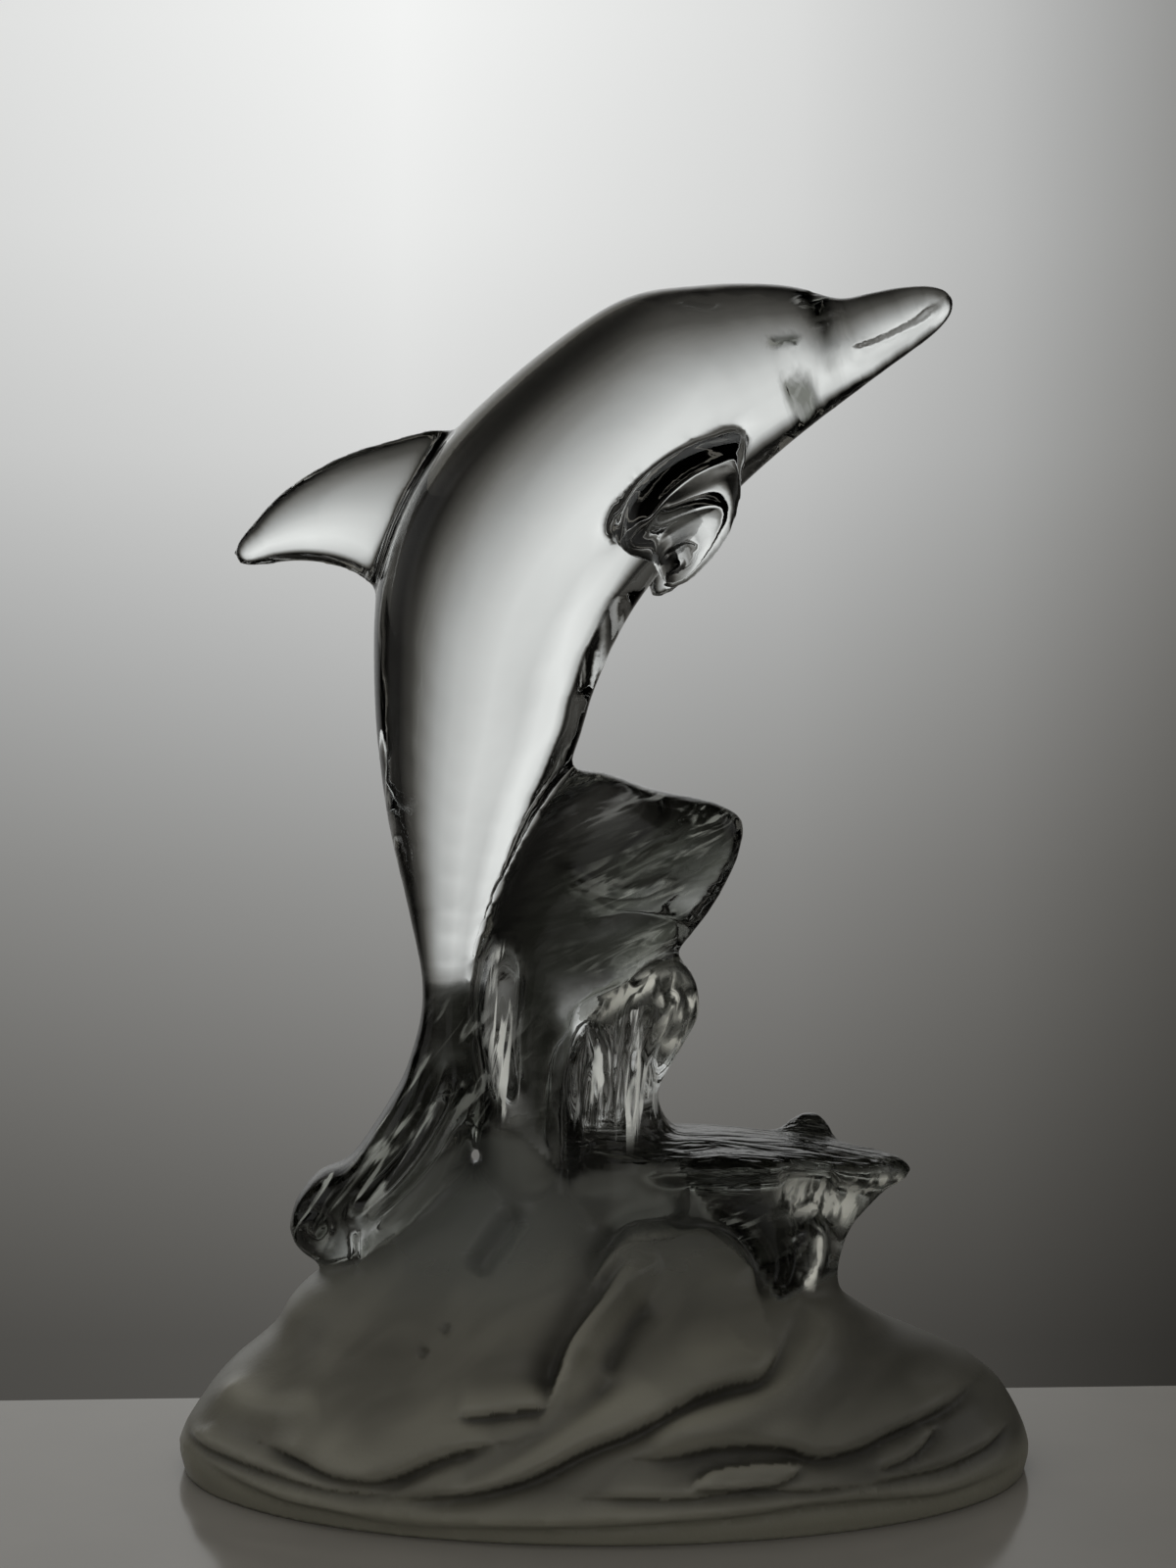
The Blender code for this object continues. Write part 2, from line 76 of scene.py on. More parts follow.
# %% [markdown]
# Every rounded form of the casting starts as a ball. Its rings are moved onto stations along the
# form: each station is a point on one edge, a point on the other edge and half the thickness, in
# millimetres, read from the side view of the figurine. A smooth curve through the stations fills in
# between them, so a handful of rows makes a whole body.

# %% A ball drawn out along stations
def through(rows, place):
    last = len(rows) - 1
    first = min(int(place), last - 1)
    share = place - first
    before, start, end, after = (rows[min(max(first + k, 0), last)] for k in (-1, 0, 1, 2))
    bend = 2 * before - 5 * start + 4 * end - after
    twist = 3 * (start - end) + after - before
    return start + 0.5 * share * (end - before + share * (bend + share * twist))


def add_swept(shape, rows, rings, around, noses):
    ball = bmesh.ops.create_uvsphere(shape, u_segments=around, v_segments=rings + 1, radius=1.0)
    last = len(rows) - 1
    for vertex in ball["verts"]:
        ring = (rings + 1) * math.acos(max(-1.0, min(1.0, vertex.co.z))) / math.pi
        place = last * min(max((ring - 1) / (rings - 1), 0.0), 1.0)
        row = through(rows, place)
        step = through(rows, min(place + 0.05, last)) - through(rows, max(place - 0.05, 0.0))
        one_edge, other_edge, half = Vector(row[0:3]), Vector(row[3:6]), row[6]
        along = Vector(step[0:3] + step[3:6]).normalized()
        middle = (one_edge + other_edge) / 2
        across = (one_edge - other_edge) / 2
        side = across.cross(along).normalized() * half
        if ring < 0.5:
            vertex.co = (middle - along * noses[0]) * MM
        elif ring > rings + 0.5:
            vertex.co = (middle + along * noses[1]) * MM
        else:
            turn = math.atan2(vertex.co.y, vertex.co.x)
            vertex.co = (middle + across * math.cos(turn) + side * math.sin(turn)) * MM


def flat_rows(stations, out=0.0):
    return np.array([(a[0], out, a[1], b[0], out, b[1], half) for a, b, half in stations])


casting = bmesh.new()

# %% [markdown]
# The dolphin itself: one long body from the tip of the beak over the brow and down to the tail
# stock, where it sinks into the water, and the tall fin on the back. The beak narrows from the
# forehead in a shallow notch; the mouth is cut into it later as a line.

# %% Body and back fin
BODY = [
    ((58.4, 199.2), (59.8, 195.4), 2.9),
    ((55.4, 200.0), (57.4, 192.4), 4.5),
    ((50.2, 199.6), (53.0, 189.0), 5.9),
    ((44.6, 198.5), (48.4, 185.7), 7.1),
    ((39.8, 197.5), (44.6, 182.9), 8.5),
    ((34.6, 199.0), (41.0, 180.2), 10.3),
    ((27.6, 199.9), (36.7, 177.0), 12.5),
    ((16.4, 199.6), (30.4, 171.9), 15.0),
    ((2.0, 196.8), (24.0, 166.2), 17.2),
    ((-16.2, 183.9), (14.1, 156.4), 18.2),
    ((-30.8, 168.6), (4.8, 144.4), 17.8),
    ((-38.2, 151.7), (-1.3, 131.8), 16.6),
    ((-39.3, 131.5), (-5.0, 120.4), 14.6),
    ((-37.3, 111.0), (-10.8, 110.0), 12.0),
    ((-33.4, 93.3), (-18.0, 93.5), 8.8),
    ((-31.2, 82.2), (-21.6, 82.0), 6.6),
    ((-31.6, 74.3), (-20.5, 71.5), 7.0),
    ((-34.4, 65.1), (-18.4, 57.4), 8.6),
]
BACK_FIN = [
    ((-17.5, 172.0), (-31.0, 144.0), 6.0),
    ((-27.2, 175.6), (-38.5, 148.2), 5.2),
    ((-36.0, 173.9), (-44.6, 151.6), 4.6),
    ((-45.5, 170.8), (-51.6, 152.8), 4.0),
    ((-54.2, 165.6), (-57.6, 152.3), 3.3),
    ((-60.4, 159.2), (-61.6, 152.0), 2.6),
    ((-63.1, 155.6), (-63.0, 153.0), 1.8),
]
add_swept(casting, flat_rows(BODY), 180, 96, (0.9, 0.0))
add_swept(casting, flat_rows(BACK_FIN), 48, 64, (0.0, 0.7))
print("dolphin forms:", len(casting.verts), "points")

# %% [markdown]
# The side fins stand out from the flanks as they hang down, so their stations also say how far out
# they are. The near fin and the far fin come from the same rows; the far one is carried a little
# higher and closer, as on a figure whose master was carved by hand.

# %% Side fins
SIDE_FIN = [
    ((23.8, 174.6), (2.4, 162.4), 8.0, 5.5),
    ((23.4, 170.6), (0.6, 156.4), 15.0, 4.6),
    ((22.4, 165.2), (3.0, 151.8), 19.5, 3.6),
    ((21.3, 158.6), (6.6, 150.2), 23.5, 3.0),
    ((18.9, 153.3), (8.0, 147.6), 26.5, 2.6),
    ((14.9, 148.6), (8.9, 145.2), 28.5, 2.1),
]


def side_fin_rows(reach, rise):
    rows = []
    for one_edge, other_edge, out, half in SIDE_FIN:
        near = (one_edge[0], reach * out, one_edge[1] + rise)
        far = (other_edge[0], reach * out, other_edge[1] + rise)
        rows.append((*near, *far, half))
    return np.array(rows)


add_swept(casting, side_fin_rows(-1.0, 0.0), 48, 56, (0.0, 0.8))
add_swept(casting, side_fin_rows(0.92, 4.0), 48, 56, (0.0, 0.8))
print("with the side fins:", len(casting.verts), "points")

# %% [markdown]
# The water: a tall crest that breaks over a second curl. Both grow out of the mound and bend over to
# the right, and they get thinner towards their tips, as water does when it breaks.

# %% Crest and curl
CREST = [
    ((-21.0, 44.0), (-5.0, 44.0), 12.0),
    ((-21.0, 62.0), (-6.8, 62.0), 11.5),
    ((-22.6, 79.0), (-3.4, 73.5), 11.0),
    ((-21.6, 94.0), (5.6, 80.6), 10.5),
    ((-14.6, 109.5), (12.4, 86.4), 10.0),
    ((-4.2, 117.4), (18.2, 93.4), 9.5),
    ((8.6, 114.2), (22.0, 100.2), 8.0),
    ((17.6, 112.4), (23.4, 104.0), 5.5),
    ((21.4, 111.0), (24.0, 107.0), 3.2),
]
CURL = [
    ((-9.0, 42.0), (15.4, 42.0), 15.0),
    ((-8.0, 55.0), (12.2, 55.0), 13.0),
    ((-7.4, 63.0), (9.2, 62.0), 11.5),
    ((-5.0, 70.0), (12.6, 69.0), 11.0),
    ((-1.0, 76.5), (16.2, 75.5), 10.0),
    ((3.4, 82.5), (16.0, 80.8), 8.0),
    ((8.0, 86.4), (14.0, 84.6), 4.5),
]
add_swept(casting, flat_rows(CREST), 80, 72, (0.0, 1.2))
add_swept(casting, flat_rows(CURL), 64, 64, (0.0, 1.5))
print("with crest and curl:", len(casting.verts), "points")

# %% [markdown]
# A flat tongue of water runs out to the right on a thinner neck, with a wavelet that stands up behind
# it.

# %% Tongue, neck and wavelet
TONGUE = [
    ((-8.0, 52.0), (-8.0, 44.0), 9.0),
    ((6.0, 55.8), (6.0, 47.0), 14.0),
    ((17.0, 56.2), (17.0, 48.2), 16.0),
    ((26.0, 55.5), (26.0, 48.4), 15.0),
    ((35.0, 54.5), (34.6, 48.2), 12.5),
    ((43.0, 53.2), (42.6, 46.9), 9.5),
    ((48.5, 52.2), (48.2, 46.6), 6.5),
    ((51.8, 51.0), (51.9, 48.0), 3.2),
]
NECK = [
    ((4.0, 51.0), (47.0, 50.0), 7.0),
    ((6.0, 47.0), (48.4, 46.4), 6.5),
    ((8.0, 44.0), (45.6, 43.2), 7.2),
    ((10.0, 40.0), (42.4, 39.6), 8.0),
    ((12.0, 35.0), (40.6, 35.0), 9.0),
    ((14.0, 30.0), (40.0, 30.4), 10.5),
    ((17.0, 24.0), (42.0, 24.0), 12.0),
]
WAVELET = [
    ((28.5, 50.0), (41.5, 49.0), 3.8),
    ((31.4, 55.4), (40.2, 54.4), 3.2),
    ((34.8, 57.8), (38.4, 57.2), 2.2),
]
WAVELET_BEHIND = 7.5
add_swept(casting, flat_rows(TONGUE), 64, 64, (0.0, 1.0))
add_swept(casting, flat_rows(NECK), 48, 56, (0.0, 0.0))
add_swept(casting, flat_rows(WAVELET, WAVELET_BEHIND), 24, 32, (0.0, 0.6))
print("with the tongue:", len(casting.verts), "points")

# %% [markdown]
# To the left a sweep falls away from the tail stock and ends in a scroll.

# %% Sweep
SWEEP = [
    ((-26.5, 74.0), (-20.5, 70.0), 5.0),
    ((-31.5, 70.0), (-20.5, 60.0), 8.0),
    ((-37.4, 60.2), (-25.0, 47.0), 11.0),
    ((-43.6, 51.6), (-33.0, 38.0), 12.0),
    ((-48.8, 49.2), (-40.5, 34.0), 10.0),
    ((-52.6, 44.6), (-46.0, 33.0), 7.4),
    ((-53.8, 39.8), (-50.0, 34.6), 4.6),
]
add_swept(casting, flat_rows(SWEEP), 64, 64, (0.0, 1.2))
print("with the water:", len(casting.verts), "points")

# %% [markdown]
# The base is an oval mound. Again a ball gives the points: its upper half becomes the slope, its
# lower half a flat foot with a little spare glass under it that is cut away later. The slope is a
# curve of height against distance from the middle, one for the left and one for the right, and the
# two blend into each other round the oval.

# %% Oval mound
BASE_WIDTH = 145.0
BASE_DEPTH = 74.0
SPARE_BELOW = 5.0
FOOT_SHARE = 0.975
RIGHT_SLOPE = [
    (0.0, 53.0), (0.2, 46.0), (0.29, 39.0), (0.38, 33.5), (0.47, 30.0), (0.56, 28.4), (0.61, 26.0),
    (0.67, 23.2), (0.77, 20.6), (0.87, 17.4), (0.93, 14.2), (0.965, 10.2), (0.99, 6.2), (1.0, 3.4),
]
LEFT_SLOPE = [
    (0.0, 53.0), (0.2, 52.0), (0.4, 48.5), (0.5, 42.5), (0.58, 36.0), (0.70, 30.8), (0.745, 27.4),
    (0.77, 23.6), (0.82, 20.4), (0.87, 17.6), (0.92, 13.8), (0.96, 9.6), (0.988, 6.4), (1.0, 4.0),
]
mound = bmesh.ops.create_uvsphere(casting, u_segments=200, v_segments=140, radius=1.0)
for vertex in mound["verts"]:
    fall = math.acos(max(-1.0, min(1.0, vertex.co.z))) / (math.pi / 2)
    turn = math.atan2(vertex.co.y, vertex.co.x)
    out = fall if fall <= 1.0001 else (2.0 - fall) * FOOT_SHARE
    leftness = (1 - math.cos(turn)) / 2
    right, left = (np.interp(out, *zip(*slope)) for slope in (RIGHT_SLOPE, LEFT_SLOPE))
    height = right + (left - right) * leftness if fall <= 1.0001 else -SPARE_BELOW
    across = BASE_WIDTH / 2 * out * math.cos(turn)
    deep = BASE_DEPTH / 2 * out * math.sin(turn)
    vertex.co = Vector((across, deep, height)) * MM
print("all forms:", len(casting.verts), "points")

# %% [markdown]
# Moulded glass has no sharp inner corner: where a fin or the wave meets the body, the skin runs
# over in a small fillet. A voxel remesh wraps one closed skin round all the overlapping forms, and
# a few smoothing passes melt the corners and iron out the steps of the voxels.

# %% One molten skin
SKIN_GRAIN = 0.99
MELT_PASSES = 12


def settled(maker):
    graph = bpy.context.evaluated_depsgraph_get()
    mesh = bpy.data.meshes.new_from_object(maker.evaluated_get(graph))
    bpy.data.objects.remove(maker)
    return mesh


bmesh.ops.recalc_face_normals(casting, faces=casting.faces)
forms_mesh = bpy.data.meshes.new("forms")
casting.to_mesh(forms_mesh)
casting.free()
forms = bpy.data.objects.new("forms", forms_mesh)
bpy.context.scene.collection.objects.link(forms)
wrap = forms.modifiers.new("one skin", "REMESH")
wrap.mode = "VOXEL"
wrap.voxel_size = SKIN_GRAIN * MM
melt = forms.modifiers.new("melted joins", "SMOOTH")
melt.factor = 0.5
melt.iterations = MELT_PASSES
skin = settled(forms)
print("skin:", len(skin.vertices), "points")

# %% [markdown]
# The water's folds are drawn as lines, as they are seen from the front, and pressed into the skin
# or raised from it along its own normal. A plain fold is a height, a half width and a line. A lip is
# where one sheet of water lies over another: it stands up on the left of its line and drops at once
# to a shadow on the right. Every fold fades out towards its two ends.

# %% Height of a fold beside its line
FOLD_FADE = 0.14
LIP_STEEP = 0.8
LIP_EDGE = 1.2


def beside_line(places, corners):
    nearest = np.full(len(places), np.inf)
    side = np.ones(len(places))
    along = np.zeros(len(places))
    lengths = np.linalg.norm(np.diff(corners, axis=0), axis=1)
    begun = np.concatenate([[0.0], np.cumsum(lengths)]) / lengths.sum()
    for k, (start, end) in enumerate(zip(corners[:-1], corners[1:])):
        run = end - start
        from_start = places - start
        share = np.clip(from_start @ run / (run @ run), 0.0, 1.0)
        gap = np.linalg.norm(from_start - share[:, None] * run, axis=1)
        closer = gap < nearest
        nearest[closer] = gap[closer]
        side[closer] = np.sign(run[0] * from_start[closer, 1] - run[1] * from_start[closer, 0])
        along[closer] = (begun[k] + share * (begun[k + 1] - begun[k]))[closer]
    return nearest, side, along


def fold_height(places, fold):
    height, over, under, line = fold
    rows = np.array(line)
    steps = np.linspace(0, len(rows) - 1, 5 * (len(rows) - 1) + 1)
    corners = np.array([through(rows, step) for step in steps])
    reach = 2.6 * max(over, under)
    low, high = corners.min(axis=0) - reach, corners.max(axis=0) + reach
    near = np.flatnonzero(np.all((places > low) & (places < high), axis=1))
    gap, side, along = beside_line(places[near], corners)
    fade = np.clip(np.minimum(along, 1.0 - along) / FOLD_FADE, 0.12, 1.0)
    edge = np.zeros(len(near))
    if under:
        half = np.where(side > 0, over, under)
        profile = np.tanh(side * gap / LIP_STEEP) * np.exp(-((gap / half) ** 2))
        edge = side * fade * np.exp(-((gap / LIP_EDGE) ** 2))
    else:
        profile = np.exp(-((gap / over) ** 2))
    return near, height * fade * profile, edge


# %% [markdown]
# The same drawing is used for the back, seen from behind, and only the side that faces the drawing is
# carved. What is nearer to the eye looks larger, so a point of the skin is first put where it is seen
# on the drawing. Carving gives back how far each point was moved, and how close it lies to the edge of
# a lip: above 0 on the lip, below 0 in its shadow.

# %% Carving a set of folds
def drawn_places(points, side):
    grow = EYE_OUT / (EYE_OUT - side * points[:, 1])
    across = EYE_ACROSS + (points[:, 0] - EYE_ACROSS) * grow
    up = EYE_UP + (points[:, 2] - EYE_UP) * grow
    return np.stack([across, up], axis=1)


def vectors_of(collection, name):
    values = np.empty(len(collection) * 3)
    collection.foreach_get(name, values)
    return values.reshape(-1, 3)


def carve(mesh, folds, low, high):
    points = vectors_of(mesh.vertices, "co") / MM
    normals = vectors_of(mesh.vertex_normals, "vector")
    within = np.clip((points[:, 2] - low) / 2, 0, 1) * np.clip((high - points[:, 2]) / 2, 0, 1)
    moved = np.zeros(len(points))
    edged = np.zeros(len(points))
    for side in (1, -1):
        facing = np.clip(-side * normals[:, 1] * 2.2, 0.0, 1.0)
        seen = np.flatnonzero(facing * within > 0)
        places = drawn_places(points[seen], -side)
        for fold in folds:
            near, raised, edge = fold_height(places, fold)
            moved[seen[near]] += facing[seen[near]] * raised
            edged[seen[near]] += facing[seen[near]] * edge
    moved *= within
    points += normals * moved[:, None]
    mesh.vertices.foreach_set("co", (points * MM).reshape(-1))
    mesh.update()
    return moved, edged * within


# %% [markdown]
# The folds themselves: height, half width on the left of the line, half width on the right (0 for a
# plain fold), and the line from end to end in millimetres.

# %% Folds of the base
BASE_FOLDS = [
    (2.0, 7.0, 2.0, [
        (-58.0, 2.5), (-51.5, -0.5), (-46.5, -3.0), (-41.0, -4.0), (-36.0, -3.5), (-30.0, -1.0),
        (-24.0, 1.0), (-18.0, 2.5),
    ]),
    (2.4, 4.0, 4.0, [(4.0, 33.0), (2.5, 31.0), (-1.0, 26.0), (-5.5, 20.0), (-7.5, 15.0), (-9.5, 9.0)]),
    (1.3, 4.0, 1.8, [(-25.0, 6.5), (-18.0, 7.5), (-14.0, 8.0), (-9.5, 8.5)]),
    (-1.3, 2.0, 0, [
        (4.0, 14.0), (-0.5, 11.0), (-4.5, 7.5), (-9.5, 4.0), (-15.0, 0.5), (-21.5, -3.0),
        (-28.5, -5.5),
    ]),
    (2.4, 7.0, 1.9, [
        (-36.0, -7.0), (-25.0, -6.5), (-17.5, -5.0), (-11.5, -3.0), (-2.5, 1.5), (4.0, 4.0),
        (10.0, 7.0), (16.0, 10.5), (22.0, 12.5), (26.5, 13.5), (29.0, 16.5), (31.0, 21.0),
    ]),
    (3.0, 7.5, 3.0, [
        (27.0, 26.0), (25.5, 31.0), (23.0, 35.5), (19.5, 38.0), (14.5, 39.0), (9.5, 39.0),
        (4.0, 37.5), (0.0, 33.5), (-2.5, 29.5),
    ]),
    (1.5, 2.0, 0, [(10.0, 33.0), (5.0, 29.5), (0.5, 24.5), (-2.5, 20.0), (-5.0, 15.0)]),
    (-1.2, 2.0, 0, [(8.5, 26.5), (5.0, 22.5), (2.0, 17.5), (0.5, 13.5)]),
    (1.8, 2.8, 0, [
        (35.0, 27.0), (37.5, 21.0), (35.0, 16.0), (31.5, 11.5), (26.5, 8.0), (19.5, 5.5),
        (12.5, 4.0), (7.5, 1.5),
    ]),
    (1.7, 5.0, 1.6, [
        (6.0, 0.0), (11.0, 0.0), (18.0, 1.5), (24.5, 2.0), (31.5, 1.5), (36.5, 0.0), (43.5, 1.5),
        (48.5, 4.0), (55.0, 7.0), (60.5, 10.5), (64.0, 14.0),
    ]),
    (1.0, 2.0, 1.2, [(34.5, -1.0), (29.5, -1.0), (23.0, -1.5), (18.0, -2.5), (14.5, -5.0)]),
    (1.0, 2.0, 1.2, [(14.5, -5.5), (26.5, -5.0), (31.5, -3.5), (34.5, -1.0)]),
    (1.4, 3.0, 1.4, [(46.5, -2.0), (51.0, -0.5), (54.5, 2.0), (57.0, 5.5)]),
    (1.4, 3.0, 1.4, [(45.0, -4.5), (52.0, -3.0), (58.5, -1.5), (65.5, 2.0), (69.5, 6.5)]),
    (1.1, 2.6, 1.3, [
        (-2.5, -7.0), (6.0, -7.0), (14.5, -7.0), (25.5, -5.5), (35.0, -5.5), (45.0, -4.5),
    ]),
    (1.2, 2.8, 1.4, [
        (-71.0, 1.5), (-64.0, -3.0), (-55.5, -7.0), (-47.0, -9.0), (-34.5, -11.5), (-21.5, -12.0),
        (-9.0, -12.0), (4.0, -11.5), (23.0, -10.0), (35.5, -8.0), (48.5, -7.0), (58.5, -6.0),
        (69.5, -1.5), (72.5, 2.0),
    ]),
    (1.3, 3.4, 1.5, [
        (-71.0, 6.5), (-69.5, 3.0), (-62.5, -0.5), (-55.5, -3.0), (-47.0, -5.5), (-36.0, -6.5),
    ]),
    (-2.4, 2.2, 0, [(-14.5, 43.0), (-17.0, 39.0), (-20.0, 35.0), (-22.5, 31.0)]),
    (1.2, 3.0, 0, [(-65.0, 14.0), (-61.5, 10.0), (-55.5, 8.0), (-47.5, 8.5)]),
    (-0.7, 0.8, 0, [(-27.8, 21.2), (-26.4, 22.8)]),
    (-0.7, 0.8, 0, [(-31.6, 17.0), (-30.2, 18.6)]),
]
print("folds of the base:", len(BASE_FOLDS))

# %% Folds of the wave
WAVE_FOLDS = [
    (0.6, 1.1, 0, [(-7.5, 99.5), (-1.5, 96.5), (3.0, 95.5), (7.5, 96.0), (12.5, 99.0)]),
    (-0.6, 1.2, 0, [(-3.5, 91.5), (4.0, 93.0), (10.5, 92.0), (16.5, 90.5)]),
    (0.6, 1.2, 0, [(2.5, 100.5), (8.0, 104.5), (12.5, 106.5), (16.0, 109.5)]),
    (1.4, 2.2, 0.9, [
        (-8.5, 51.5), (-10.0, 55.0), (-9.5, 61.0), (-9.0, 66.5), (-8.0, 70.0), (-6.0, 73.0),
        (-5.0, 76.5), (-2.0, 79.0), (4.0, 81.5),
    ]),
    (1.4, 0.9, 0, [
        (-4.5, 57.0), (-5.0, 64.0), (-4.5, 70.5), (-2.5, 74.0), (-1.0, 70.5), (0.0, 65.5),
        (0.5, 58.5),
    ]),
    (1.4, 0.8, 0, [(-3.0, 55.0), (-2.5, 61.5), (-1.5, 66.5), (-0.5, 61.5), (-1.0, 55.5)]),
    (1.4, 0.9, 0, [(2.0, 56.0), (2.5, 65.0), (3.5, 71.5), (4.5, 76.5), (6.0, 80.0)]),
    (1.4, 0.9, 0, [(4.0, 54.0), (5.0, 63.5), (6.0, 70.0), (8.0, 75.0), (10.0, 78.5)]),
    (1.7, 1.5, 0, [(-17.0, 87.0), (-19.0, 79.0), (-19.0, 72.0), (-17.5, 65.0), (-16.5, 59.5)]),
    (-1.5, 1.2, 0, [(-14.5, 85.0), (-15.0, 76.5), (-15.5, 70.0), (-14.5, 61.5)]),
    (-1.5, 1.4, 0, [
        (8.0, 74.0), (10.5, 79.0), (13.0, 80.5), (14.5, 78.5), (13.0, 74.0), (10.0, 69.0),
        (8.5, 62.5),
    ]),
    (-1.3, 1.3, 0, [(-26.5, 68.0), (-32.0, 57.0), (-38.5, 49.0), (-45.5, 42.5)]),
    (1.1, 1.2, 0, [(-24.5, 64.0), (-30.0, 54.0), (-36.0, 46.5), (-43.0, 40.5)]),
    (-1.3, 1.2, 0, [(-23.0, 59.0), (-28.5, 50.0), (-34.5, 43.5), (-41.0, 38.0)]),
    (-0.7, 0.9, 0, [
        (-52.6, 40.0), (-51.0, 42.2), (-48.4, 41.4), (-47.4, 38.8), (-49.2, 36.8), (-51.2, 38.2),
        (-50.2, 39.8),
    ]),
    (1.1, 1.1, 0, [(-41.5, 39.0), (-41.5, 31.0)]),
    (-2.2, 3.0, 0, [(30.0, 46.4), (35.0, 46.8), (40.5, 46.4)]),
    (-1.8, 2.2, 0, [(31.5, 41.2), (35.0, 41.4), (39.5, 41.8)]),
    (1.4, 1.4, 0, [(36.4, 43.0), (36.8, 38.0), (36.4, 33.0), (34.4, 28.5)]),
    (-1.2, 1.4, 0, [(32.6, 38.0), (32.8, 33.0), (31.0, 28.0)]),
    (-0.6, 1.0, 0, [(12.0, 52.6), (22.0, 53.0), (33.0, 52.0), (42.0, 50.6)]),
]
print("folds of the wave:", len(WAVE_FOLDS))

# %% [markdown]
# On the head, one lip is the line of the mouth and two shallow grooves are the notch of the brow and
# the eye. Each side fin has two long arcs, close to its root.

# %% Folds of the head and the side fins
HEAD_FOLDS = [
    (0.8, 3.0, 1.4, [
        (58.4, 197.6), (56.0, 196.2), (53.0, 194.0), (47.5, 191.3), (44.0, 190.0), (41.0, 189.0),
    ]),
    (-0.4, 2.3, 0, [(35.0, 199.4), (36.2, 196.8), (37.0, 194.2)]),
    (-0.4, 0.9, 0, [(33.8, 190.7), (31.4, 191.3), (28.6, 190.3)]),
]
FIN_FOLDS = [
    (-0.35, 0.9, 0, [
        (3.5, 155.0), (3.0, 161.0), (5.5, 166.5), (11.0, 171.5), (17.5, 174.0), (24.0, 175.0),
    ]),
    (-0.3, 0.9, 0, [(7.0, 158.0), (10.0, 163.4), (15.5, 168.0), (23.0, 171.0)]),
]
print("folds of head and fins:", len(HEAD_FOLDS) + len(FIN_FOLDS))

# %% [markdown]
# A fold is narrower than the skin is fine, so the skin is split once more close to every line before
# anything is carved. Each set of folds stays between two heights in millimetres.

# %% Finer skin along the folds
FOLD_SETS = [
    (BASE_FOLDS, 1.0, 56.0),
    (WAVE_FOLDS, 26.0, 118.0),
    (HEAD_FOLDS, 176.0, 202.0),
    (FIN_FOLDS, 142.0, 178.0),
]
SPLIT_REACH = 1.3


def close_to_folds(mesh, folds, low, high):
    points = vectors_of(mesh.vertices, "co") / MM
    normals = vectors_of(mesh.vertex_normals, "vector")
    close = np.zeros(len(points), dtype=bool)
    for side in (1, -1):
        facing = -side * normals[:, 1] > 0.05
        seen = np.flatnonzero(facing & (points[:, 2] > low) & (points[:, 2] < high))
        places = drawn_places(points[seen], -side)
        for fold in folds:
            line = np.array(fold[3])
            steps = np.linspace(0, len(line) - 1, 3 * len(line))
            corners = np.array([through(line, step) for step in steps])
            lowest, highest = corners.min(axis=0) - SPLIT_REACH, corners.max(axis=0) + SPLIT_REACH
            near = np.flatnonzero(np.all((places > lowest) & (places < highest), axis=1))
            gap = beside_line(places[near], corners)[0]
            close[seen[near[gap < SPLIT_REACH]]] = True
    return close


close = np.any([close_to_folds(skin, *fold_set) for fold_set in FOLD_SETS], axis=0)
finer = bmesh.new()
finer.from_mesh(skin)
split = [edge for edge in finer.edges if all(close[vertex.index] for vertex in edge.verts)]
bmesh.ops.subdivide_edges(finer, edges=split, cuts=1, use_grid_fill=True)
finer.to_mesh(skin)
finer.free()
print("finer skin:", len(skin.vertices), "points")

# %% [markdown]
# Now the folds are carved. The relief of the base and the edges of its lips are kept on the skin as
# attributes, because the satin is painted with highlights on ridges and lips and with shade in hollows
# and under the lips. A last light pass of smoothing takes the steps out of the finished folds.

# %% Carve the folds
FOLD_POLISH = 0.4

carved = [carve(skin, *fold_set) for fold_set in FOLD_SETS]
# relief and lip edges drive the painted shade and highlights of the satin
for name, values in zip(("relief", "edges"), carved[0]):
    layer = skin.attributes.new(name, "FLOAT", "POINT")
    layer.data.foreach_set("value", values.astype(np.float32))
bearer = bpy.data.objects.new("carved", skin)
bpy.context.scene.collection.objects.link(bearer)
worn = bearer.modifiers.new("polished folds", "SMOOTH")
worn.factor = FOLD_POLISH
worn.iterations = 1
skin = settled(bearer)
print("deepest and highest fold of the base:", carved[0][0].min(), carved[0][0].max(), "mm")

# %% [markdown]
# The foot is ground flat, so the spare glass is cut away at the level of the shelf and the cut is
# closed with one face. The skin is then moved so that the middle of the base stands on the origin,
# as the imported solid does.

# %% Flat foot
shape = bmesh.new()
shape.from_mesh(skin)
everything = list(shape.verts) + list(shape.edges) + list(shape.faces)
bmesh.ops.bisect_plane(
    shape, geom=everything, dist=1e-6, plane_co=(0, 0, 0), plane_no=(0, 0, 1), clear_inner=True
)
bmesh.ops.contextual_create(shape, geom=[edge for edge in shape.edges if edge.is_boundary])
bmesh.ops.recalc_face_normals(shape, faces=shape.faces)
lowest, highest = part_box("dolphin_figurine")
across = [vertex.co.x for vertex in shape.verts]
deep = [vertex.co.y for vertex in shape.verts]
middle = Vector((max(across) + min(across), max(deep) + min(deep), 0.0)) / 2
fit_across = (highest.x - lowest.x) / (max(across) - min(across))
fit_deep = (highest.y - lowest.y) / (max(deep) - min(deep))
fit_up = highest.z / max(vertex.co.z for vertex in shape.verts)
bmesh.ops.translate(shape, verts=shape.verts, vec=-middle)
bmesh.ops.scale(shape, verts=shape.verts, vec=(fit_across, fit_deep, fit_up))
shape.to_mesh(skin)
shape.free()
figurine = bpy.data.objects.new("glass_figurine", skin)
bpy.context.scene.collection.objects.link(figurine)
triangles = sum(len(face.vertices) - 2 for face in skin.polygons)
print("figurine:", triangles, "triangles, packed solid from", lowest, "to", highest)

